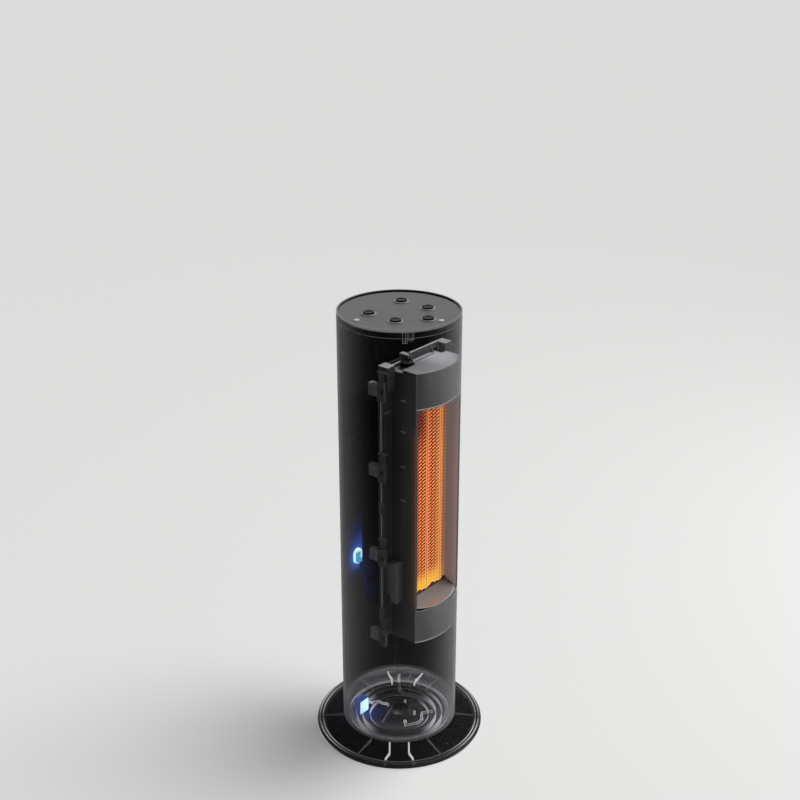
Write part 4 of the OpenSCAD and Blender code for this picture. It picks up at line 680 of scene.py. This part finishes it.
def makeLitBoard():
    # the sensor's board carries a painted blue glow of the ring's light, its border nearly as bright as the
    # ring that it closes
    material, tree, shader = newMaterial("litBoard")
    x, _, z = objectAxes(tree)
    right = smoothStep(tree, x, *litBoard["rightEdge"])
    upward = calc(tree, "ABSOLUTE", calc(tree, "SUBTRACT", z, litBoard["height"]))
    border = calc(tree, "MAXIMUM", right, smoothStep(tree, upward, *litBoard["endEdges"]))
    addLens(tree, shader, mixColours(tree, border, litBoard["middle"], litBoard["edge"]))
    return material


ringStops = [(0.0, (0.72, 0.98, 1.0)), (0.6, (0.62, 0.95, 1.0)), (0.95, (0.2, 0.6, 1.0))]
caseStops = [(0.0, (0.01, 0.06, 0.36)), (1.0, (0.005, 0.025, 0.22))]
finish["smokedCasing"] = makeSmokedCasing()
finish["smokedBase"] = makeSmokedBase()
finish.update({name: makeHaloPlastic(name, *values) for name, values in haloFinishes.items()})
finish.update({name: makeClear(name, *values) for name, values in clearFinishes.items()})
finish["capPlastic"] = makeCap()
finish["shadeless"] = makeShadeless()
finish.update({name: makeGlow(name, front) for name, front in glowFronts.items()})
finish["ringLight"] = makeLight("ringLight", ringStops, 1.5)
finish["litBoard"] = makeLitBoard()
# painted glow: the tip switch's case shows the switch lamp's blue light as its own
finish["caseLight"] = makeLight("caseLight", caseStops)

print("CAD nodes")
nodeFinish = {
    "base_plate": "basePlate", "rubber_feet": "footRubber", "cord_gland": "blackCable",
    "casing": "smokedCasing", "base_shell": "smokedBase", "top_cap": "capPlastic",
    "turntable": "clearFloor", "slide_ring": "clearRingHighlight", "hub_bush": "clearPlastic",
    "hub_gear": "clearPlastic",
    "swing_pinion": "clearPlastic", "swing_motor": "clearPlastic", "swing_motor_screws": "clearPlastic",
    "hub_retainer": "clearPlastic", "retainer_screws": "blackSteel", "base_screws": "blackSteel",
    "mains_lead": "hubLead", "tip_switch_lead": "clearLead", "tip_switch_case": "caseLight",
    "tip_plunger": "clearPlastic", "sensor_ring": "ringLight", "sensor_board": "litBoard",
    "sensor_lead": "faintLead", "intake_guard": "haloPlastic",
    "control_board": "shadeless", "press_switches": "shadeless", "cap_screws": "shadeless",
    "button_collars": "collarPlastic", "heater_frame": "framePlastic", "clips_left": "clipPlastic",
    "clips_right": "clipPlastic", "riser_bracket": "riserPlastic", "side_cover": "coverPlastic",
    "thermal_cutout": "blackPlastic", "air_hood": "hoodPlastic", "upper_baffle": "hoodPlastic",
    "lower_baffle": "bafflePlastic", "core_cap_top": "coreCapPlastic", "core_cap_bottom": "coreCapPlastic",
    "heating_bars": "hotBar", "heater_fins": "hotFin", "heater_terminals": "brassTab",
    "module_screws": "blackSteel", "main_harness": "faintLead", "control_lead": "faintLead",
    "motor_lead": "faintLead", "heater_leads": "redCable", "power_board": "blackBoard",
    "power_components": "blackPlastic", "blower_housing": "haloPlastic", "blower_wheel": "haloPlastic",
    "blower_shaft": "blackSteel", "fan_motor": "haloPlastic", "motor_cradle": "blackPlastic",
    "top_bush": "blackPlastic",
}
for name, node in nodes.items():
    node.data.materials.clear()
    node.data.materials.append(finish[nodeFinish.get(name, "buttonPlastic")])

print("finer copies")
fineCopies = {
    # node: bevel width in mm, edge finish (a painted highlight), finish of the faces that look up (painted
    # light on the tops), angle from which an edge is cut
    "casing": (0.3, None, None, 40),
    "base_plate": (0.45, "edgeHighlight", None, 40),
    "top_cap": (0.4, "edgeHighlight", None, 40),
    "button_collars": (0.3, "edgeHighlight", None, 40),
    "air_hood": (0.55, "edgeHighlight", "litShelfPlastic", 40),
    "heater_frame": (0.5, "edgeHighlight", "litTopPlastic", 40),
    "clips_left": (0.7, "clipEdgeHighlight", None, 40),
    "clips_right": (0.7, "clipEdgeHighlight", None, 40),
    "riser_bracket": (0.3, "edgeHighlight", "litTopPlastic", 40),
    "side_cover": (0.5, "dimEdgeHighlight", None, 40),
    "thermal_cutout": (0.4, "dimEdgeHighlight", None, 40),
    "lower_baffle": (0.35, "lipHighlight", None, 40),
    "upper_baffle": (0.4, "edgeHighlight", None, 40),
    "heating_bars": (0.3, None, None, 40),
    "sensor_ring": (0.4, None, None, 40),
    "turntable": (0.4, None, None, 40),
    "mains_lead": (0.0, None, None, 60),
    "tip_switch_lead": (0.0, None, None, 60),
}
# the hood's inner wall faces carry the core's painted glow
innerFinish = {"air_hood": "glowLitInnerWall"}  # of the side walls' faces that look at each other
fineLimits = {
    "weld": 0.008,  # mm
    "flat": 0.3,  # degrees, under which faces are joined
    "upward": 0.7,  # of the normal
    "sideways": 0.9,
    "bevelSteps": 2,
}


def meshFrom(shape, name):
    mesh = bpy.data.meshes.new(name)
    shape.to_mesh(mesh)
    shape.free()
    return mesh


def smoothMesh(mesh, angle):
    mesh.shade_smooth()
    mesh.set_sharp_from_angle(angle=math.radians(angle))


def addPiece(name, mesh, body, slot, *materials):
    mesh.materials.clear()
    for key in materials:
        mesh.materials.append(finish[key])
    piece = bpy.data.objects.new(name, mesh)
    scene.collection.objects.link(piece)
    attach(piece, body)
    return piece


def addBevel(piece, width, angle, material):
    bevel = piece.modifiers.new("edges", "BEVEL")
    bevel.width = width * mm
    bevel.segments = fineLimits["bevelSteps"]
    bevel.limit_method = "ANGLE"
    bevel.angle_limit = math.radians(angle)
    bevel.harden_normals = True
    bevel.material = material


def fineCopy(name, width, edge, top, angle):
    shape = bmesh.new()
    shape.from_mesh(nodes[name].data)
    bmesh.ops.remove_doubles(shape, verts=shape.verts, dist=fineLimits["weld"] * mm)
    flat = math.radians(fineLimits["flat"])
    bmesh.ops.dissolve_limit(shape, angle_limit=flat, verts=shape.verts, edges=shape.edges)
    mesh = meshFrom(shape, name + "_finished")
    own = nodeFinish[name]
    materials = [own, edge or own, top or own, innerFinish.get(name, own)]
    piece = addPiece(name + "_finished", mesh, bodyOf[name], slotOf[name], *materials)
    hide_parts(name)
    for face in mesh.polygons:
        inward = abs(face.normal.x) > fineLimits["sideways"] and face.normal.x * face.center.x < 0
        # faces that look up get painted light, and the hood's inner walls get the core's painted glow
        if top and face.normal.z > fineLimits["upward"]:
            face.material_index = 2
        elif name in innerFinish and inward:
            face.material_index = 3
    smoothMesh(mesh, angle)
    if width:
        addBevel(piece, width, angle, 1 if edge else -1)


for name, values in fineCopies.items():
    fineCopy(name, *values)


def finishShape(shape, name, body, slot, *materials, smooth=40.0):
    bmesh.ops.recalc_face_normals(shape, faces=shape.faces)
    mesh = meshFrom(shape, name)
    smoothMesh(mesh, smooth)
    return addPiece(name, mesh, body, slot, *materials)


roundSteps = 180  # of a full turn


def spinProfile(shape, profile):
    # closed outline of (radius, height) points in mm, turned about the axis
    corners = [shape.verts.new((r * mm, 0.0, z * mm)) for r, z in profile]
    edges = [shape.edges.new((corners[i - 1], corners[i])) for i in range(len(corners))]
    bmesh.ops.spin(shape, geom=corners + edges, cent=(0, 0, 0), axis=(0, 0, 1), angle=math.tau,
                   steps=roundSteps, use_merge=True)


def spinBox(shape, inner, outer, bottom, top):
    spinProfile(shape, [(inner, bottom), (outer, bottom), (outer, top), (inner, top)])


def addBar(shape, start, end, width, bottom, top, tail=None):
    # upright strip from start to end in mm, whose top may fall from one height to another
    start, end = Vector((*start, bottom)) * mm, Vector((*end, bottom)) * mm
    along = end - start
    rise, fall = (top - bottom) * mm, (top - (top if tail is None else tail)) * mm
    middle = Matrix.Translation((start + end) / 2 + Vector((0.0, 0.0, rise / 2)))
    turn = along.to_track_quat("X", "Z").to_matrix().to_4x4()
    size = Matrix.Diagonal((along.length, width * mm, rise, 1.0))
    for corner in bmesh.ops.create_cube(shape, size=1.0, matrix=middle @ turn @ size)["verts"]:
        far = (corner.co - start).dot(along) > along.length_squared / 2
        if far and corner.co.z > start.z + rise / 2:
            corner.co.z -= fall


def addDisc(shape, place, radii, depth, segments):
    # upright disc or pin about its middle, with its lower and upper radius, in mm
    lower, upper = (radius * mm for radius in radii)
    place = Matrix.Translation(Vector(place) * mm)
    bmesh.ops.create_cone(shape, cap_ends=True, segments=segments, radius1=lower, radius2=upper,
                          depth=depth * mm, matrix=place)


def polar(radius, angle):
    return radius * math.cos(math.radians(angle)), radius * math.sin(math.radians(angle))


print("base dome and ribs")
base = {
    # outlines are (radius, height) points in mm
    "outline": [(63.5, 3.5), (63.5, 13.5), (67, 13.5), (67, 11.9), (76, 11.5), (101, 6.2), (102.5, 7),
                (107.5, 7)],
    "edgeRound": 3.0,
    "edgeRadius": 110.5,
    "edgeTurns": (15, 30, 45, 60, 75, 90),  # degrees of the rounding that have a point
    "edgeFoot": [(110.5, 3.0), (110.0, 2.0), (109.2, 1.5)],
    "inside": [(108, 1.5), (100.8, 1.5), (100.8, 4.2), (76, 9.3), (66, 9.7), (66, 3.5)],
    "axis": -140.0,
    "channel": [(12.5, 64.5), (12.5, 84.0), (17.5, 93.0), (19.0, 103.0)],
    "rearChannel": [(15.5, 64.5), (17.0, 78.0), (22.5, 92.0), (24.5, 103.0)],
    "rearTurn": -4.7,
    "channelWidth": 2.0,
    "channelDepth": 1.6,
    "channelGap": 0.15,  # under the dome
    "singles": [-90, -33, 33, 90, -147, 147],
    "singleReach": (67.0, 100.0),
    "singleWidth": 0.9,
    "singleFoot": 3.6,
    "singleTop": 9.1,
    "singleGap": 0.1,
    "rings": [(66.9, 13.55), (102.4, 7.0), (107.7, 7.0)],  # radius and height
    "ringHalf": 0.22,
    "ringSink": 0.3,
    "ringRise": 0.1,
    "bands": [(103.0, 6.6, 8.0), (106.8, 6.8, 8.2), (110.4, 2.5, 5.0), (66.6, 11.8, 14.8), (57.5, 3.5, 13.0),
              (49.5, 3.5, 12.0), (39.5, 3.5, 8.0)],  # radius, bottom and top
    "bandHalf": 0.4,
    "pins": [(20.8, 18.0), (20.8, -62.0)],  # radius and angle
    "pinRadius": 1.4,
    "pinLength": 7.0,
    "pinMiddle": 11.0,
}


def underside(radius):
    # height of the dome's underside in mm
    (outer, low), (inner, high) = base["inside"][2:4]
    return high - max(0.0, radius - inner) * (high - low) / (outer - inner)


def makeDome():
    shape = bmesh.new()
    middle, top = base["edgeRadius"] - base["edgeRound"], base["outline"][-1][1] - base["edgeRound"]
    arc = [polar(base["edgeRound"], 90.0 - turn) for turn in base["edgeTurns"]]
    edge = [(middle + outward, top + upward) for outward, upward in arc]
    spinProfile(shape, base["outline"] + edge + base["edgeFoot"] + base["inside"])
    piece = finishShape(shape, "base_dome", "base", "smoked_base", "smokedBase", smooth=25.0)
    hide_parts("base_shell")


def baseTurn(x, y, more=0.0):
    # from the base's own plan, front up, to the frame
    angle = math.radians(base["axis"] - 90.0 + more)
    return (x * math.cos(angle) - y * math.sin(angle), x * math.sin(angle) + y * math.cos(angle))


def makeRibs():
    bright, faint = bmesh.new(), bmesh.new()
    for way, channel, more in ((1, base["channel"], 0.0), (-1, base["rearChannel"], base["rearTurn"])):
        for side in (1, -1):
            route = [(x * side * way, y * way) for x, y in channel]
            for start, end in zip(route, route[1:]):
                tops = [underside(math.hypot(*point)) - base["channelGap"] for point in (start, end)]
                bottom = tops[1] - base["channelDepth"]
                start, end = baseTurn(*start, more), baseTurn(*end, more)
                addBar(bright, start, end, base["channelWidth"], bottom, *tops)
    tail = underside(base["singleReach"][1]) - base["singleGap"]
    for turn in base["singles"]:
        start, end = (baseTurn(*polar(radius, 90.0 + turn)) for radius in base["singleReach"])
        addBar(faint, start, end, base["singleWidth"], base["singleFoot"], base["singleTop"], tail)
    # the ribs' pale glowing finishes are painted highlights
    finishShape(bright, "channel_ribs", "base", "smoked_base", "ribHighlight")
    finishShape(faint, "single_ribs", "base", "smoked_base", "faintRibHighlight")


# pale glowing rings on the base's rims and feet, and pin outlines: painted highlights
def makeRimLines():
    thin, upright, pins = bmesh.new(), bmesh.new(), bmesh.new()
    half = base["ringHalf"]
    for radius, height in base["rings"]:
        spinBox(thin, radius - half, radius + half, height - base["ringSink"], height + base["ringRise"])
    for radius, bottom, top in base["bands"]:
        spinBox(upright, radius - base["bandHalf"], radius + base["bandHalf"], bottom, top)
    for radius, angle in base["pins"]:
        place = (*polar(radius, angle), base["pinMiddle"])
        addDisc(pins, place, [base["pinRadius"]] * 2, base["pinLength"], segments=24)
    finishShape(thin, "rim_highlight_lines", "base", "smoked_base", "clearRingHighlight")
    finishShape(upright, "foot_ring_highlights", "base", "smoked_base", "clearRingHighlight")
    finishShape(pins, "pin_highlight_outlines", "base", "smoked_base", "pinHighlight")


makeDome()
makeRibs()
makeRimLines()

print("switch lamp")
lamp = {
    "low": (-34.0, 39.7, 5.5),
    "high": (-18.0, 40.02, 24.5),
    "corner": 1.0,
    "cornerSteps": 4,
}


def makeLamp():
    shape = bmesh.new()
    low, high = Vector(lamp["low"]) * mm, Vector(lamp["high"]) * mm
    place = Matrix.Translation((low + high) / 2) @ Matrix.Diagonal((*(high - low), 1.0))
    bmesh.ops.create_cube(shape, size=1.0, matrix=place)
    deep = [edge for edge in shape.edges if abs((edge.verts[0].co - edge.verts[1].co).normalized().y) > 0.9]
    bmesh.ops.bevel(shape, geom=deep, offset=lamp["corner"] * mm, offset_type="OFFSET",
                    segments=lamp["cornerSteps"], profile=0.5, affect="EDGES", material=-1)
    finishShape(shape, "switch_lamp", "base", "blue_light", "ringLight")


makeLamp()

print("core fins")
fins = {
    "z": (221.3, 473.7),
    "y": (-44.5, -32.6),
    "pitch": 4.7,
    "rise": 1.3,  # of a bright leg, and the rest of the pitch is the leg back
    "gaps": [(-38.0, -28.8, 2), (-23.7, -2.5, 3), (2.5, 23.7, 3), (28.8, 38.0, 2)],  # left, right, columns
    "columnShare": (0.09, 0.91),
    "foot": 0.9,
    "legThickness": 1.7,
    "backThickness": 0.3,
    "backSetIn": 0.3,
}


def addLeg(shape, start, end, front, thickness, material):
    # one leg of the folded strip, between two (x, z) corners in mm
    (x0, z0), (x1, z1) = start, end
    back = fins["y"][1]
    middle = Vector(((x0 + x1) / 2, (front + back) / 2, (z0 + z1) / 2)) * mm
    size = Matrix.Diagonal((abs(x1 - x0) * mm, (back - front) * mm, thickness * mm, 1.0))
    made = bmesh.ops.create_cube(shape, size=1.0, matrix=Matrix.Translation(middle) @ size)["verts"]
    slope = (z1 - z0) / (x1 - x0)
    for corner in made:
        corner.co.z += (corner.co.x - middle.x) * slope
    for face in {face for corner in made for face in corner.link_faces}:
        face.material_index = material


def makeFins():
    shape = bmesh.new()
    front = fins["y"][0]
    half = fins["pitch"] / 2
    for left, right, columns in fins["gaps"]:
        width = (right - left) / columns
        for column in range(columns):
            x0, x1 = (left + (column + share) * width for share in fins["columnShare"])
            z = fins["z"][0] + fins["foot"] + column % 2 * half
            addLeg(shape, (x0, z), (x1, z + fins["rise"]), front, fins["legThickness"], 0)
            addLeg(shape, (x1, z + fins["rise"]), (x0, z + fins["pitch"]), front + fins["backSetIn"],
                   fins["backThickness"], 1)
    first = shape.verts[:] + shape.edges[:] + shape.faces[:]
    count = int((fins["z"][1] - fins["z"][0] - half) / fins["pitch"])
    for fold in range(1, count):
        copied = bmesh.ops.duplicate(shape, geom=first)["geom"]
        corners = [part for part in copied if isinstance(part, bmesh.types.BMVert)]
        bmesh.ops.translate(shape, verts=corners, vec=(0.0, 0.0, fold * fins["pitch"] * mm))
    piece = finishShape(shape, "core_fins", "tower", "hot_fin", "hotFin", "deepFin")
    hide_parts("heater_fins")


makeFins()

print("hood edges")
hood = {
    "radius": 72.85,
    "turn": (-124.0, -56.0),  # degrees, along the curved front
    "heights": [165.5, 484.2],
    "steps": 48,
    "lineHeight": 0.55,
    "lineDepth": 0.25,
    "frameEdge": 60.0,
    "frameEdgeHighlight": (-22.9, -21.3),
    "frameLineWidth": 0.2,
    "frameHeights": (166.0, 500.0),
}


# thin bars on the hood's curved edges and the frame's sides, whose pale glowing finishes are painted
# highlights
def makeHoodEdges():
    shape = bmesh.new()
    first, last = hood["turn"]
    turns = [first + (last - first) * step / hood["steps"] for step in range(hood["steps"] + 1)]
    for height in hood["heights"]:
        for ends in zip(turns, turns[1:]):
            start, end = (polar(hood["radius"], turn) for turn in ends)
            addBar(shape, start, end, hood["lineDepth"], height, height + hood["lineHeight"])
    finishShape(shape, "hood_edge_highlights", "tower", "grey_plastic", "hoodEdgeHighlight")
    line = bmesh.new()
    for side in (-1, 1):
        x, (y0, y1) = hood["frameEdge"] * side, hood["frameEdgeHighlight"]
        addBar(line, (x, y0), (x, y1), hood["frameLineWidth"], *hood["frameHeights"])
    finishShape(line, "frame_edge_highlights", "tower", "dark_plastic", "frameEdgeHighlight")


makeHoodEdges()

print("cap lines")
cap = {
    "top": 582.0,
    "buttons": [(0.0, -44.0), (30.0, -19.0), (30.0, 22.0), (-30.0, 22.0), (-30.0, -19.0)],
    "collar": 9.4,
    "lineWidth": 0.5,
    "lineSink": 0.2,
    "lineRise": 0.03,
    "hooks": [(-135.0, 568.6), (-129.0, 572.5), (-56.0, 571.0), (48.0, 571.0), (150.0, 571.0)],  # angle, foot
    "hookRadius": 72.75,
    "hookTurns": (-2.1, 0.42, 2.1),  # degrees, of the upright lines
    "hookLine": (0.5, 0.2),  # width and depth
    "hookFoot": 0.6,
    "bosses": [(58.8, -84.0), (58.8, 162.0)],  # radius and angle
    "bossRadii": (3.5, 3.1),
    "bossHeight": 0.3,
    "bossRaise": 0.8,  # of its middle over the top
    "skirtHighlight": (72.2, 72.8, 574.35, 574.85),  # inner and outer radius, bottom and top
}


def makeCapLines():
    shape = bmesh.new()
    for start, end in zip(cap["buttons"], cap["buttons"][1:] + cap["buttons"][:1]):
        start, end = Vector(start), Vector(end)
        step = (end - start).normalized() * cap["collar"]
        low, high = cap["top"] - cap["lineSink"], cap["top"] + cap["lineRise"]
        addBar(shape, start + step, end - step, cap["lineWidth"], low, high)
    finishShape(shape, "cap_board_lines", "tower", "smoked_cap", "capLine")
    # bright outlines of the skirt's hooks and of the bosses: painted highlights
    marks = bmesh.new()
    width, depth = cap["hookLine"]
    for angle, bottom in cap["hooks"]:
        ends = [Vector(polar(cap["hookRadius"], angle + turn)) for turn in cap["hookTurns"]]
        for at in ends:
            side = Vector((-at.y, at.x)).normalized() * width / 2
            addBar(marks, at - side, at + side, depth, bottom, cap["top"])
        addBar(marks, ends[0], ends[2], depth, bottom, bottom + cap["hookFoot"])
    for radius, angle in cap["bosses"]:
        place = (*polar(radius, angle), cap["top"] + cap["bossRaise"])
        addDisc(marks, place, cap["bossRadii"], cap["bossHeight"], segments=32)
    finishShape(marks, "cap_hook_highlights", "tower", "smoked_cap", "edgeHighlight")
    # a thin pale band round the skirt: a painted highlight
    skirtHighlight = bmesh.new()
    spinBox(skirtHighlight, *cap["skirtHighlight"])
    finishShape(skirtHighlight, "cap_skirt_highlight", "tower", "smoked_cap", "edgeHighlight")


makeCapLines()

print("stage and light")
stage = {
    "floorSide": 40.0,
    "paper": (0.78, 0.78, 0.7722, 1.0),
    "bounce": (0.1, 0.1, 0.1, 1.0),  # what the floor gives back to the object
    "backdrop": (0.88, 0.88, 0.875, 1.0),
    "sky": 0.06,
    "sun": 3.1,
    "sunAngle": 45.0,
    "sunWay": (-0.5, 0.3, -1.0),
    "softbox": 6.5,
    "softboxSize": (0.5, 1.2),
    "softboxPlace": (1.3, -1.0, 0.7),
    "softboxTarget": (0.0, 0.0, 0.3),
}


def backdropRays(tree):
    # the rays that see the pale backdrop as it is: the eye's, and what is mirrored or clear
    light = tree.nodes.new("ShaderNodeLightPath")
    rays = calc(tree, "ADD", light.outputs["Is Camera Ray"], light.outputs["Is Glossy Ray"])
    return calc(tree, "MINIMUM", calc(tree, "ADD", rays, light.outputs["Is Transmission Ray"]), 1.0)


def makeStage():
    shape = bmesh.new()
    bmesh.ops.create_grid(shape, x_segments=1, y_segments=1, size=stage["floorSide"] / 2)
    mesh = meshFrom(shape, "floor")
    material, tree, shader = newMaterial("floorPaper")
    colour = mixColours(tree, backdropRays(tree), stage["bounce"], stage["paper"])
    feedAll(tree, shader, {"Base Color": colour, "Roughness": 0.9, "Specular IOR Level": 0.0})
    mesh.materials.append(material)
    floor = bpy.data.objects.new("floor", mesh)
    scene.collection.objects.link(floor)


def makeWorld():
    world = bpy.data.worlds.new("studio")
    scene.world = world
    world.use_nodes = True
    tree = world.node_tree
    tree.nodes.clear()
    kinds = ("ShaderNodeBackground", "ShaderNodeBackground", "ShaderNodeMixShader", "ShaderNodeOutputWorld")
    given, seen, mix, output = (tree.nodes.new(kind) for kind in kinds)
    feedAll(tree, given, {"Color": (1.0, 1.0, 1.0, 1.0), "Strength": stage["sky"]})
    feed(tree, seen.inputs["Color"], stage["backdrop"])
    for index, value in enumerate((backdropRays(tree), given.outputs[0], seen.outputs[0])):
        feed(tree, mix.inputs[index], value)
    feed(tree, output.inputs[0], mix.outputs[0])


def addLamp(name, kind, power, way, place=(0.0, 0.0, 0.0)):
    data = bpy.data.lights.new(name, kind)
    data.energy = power
    light = bpy.data.objects.new(name, data)
    light.location = place
    light.rotation_euler = Vector(way).to_track_quat("-Z", "Y").to_euler()
    scene.collection.objects.link(light)
    return data


def makeLights():
    sun = addLamp("overheadSun", "SUN", stage["sun"], stage["sunWay"])
    sun.angle = math.radians(stage["sunAngle"])
    place = Vector(stage["softboxPlace"])
    way = Vector(stage["softboxTarget"]) - place
    box = addLamp("frontRightSoftbox", "AREA", stage["softbox"], way, place)
    box.shape = "RECTANGLE"
    box.size, box.size_y = stage["softboxSize"]


makeStage()
makeWorld()
makeLights()
scene.view_settings.view_transform = "Standard"

print("finished")
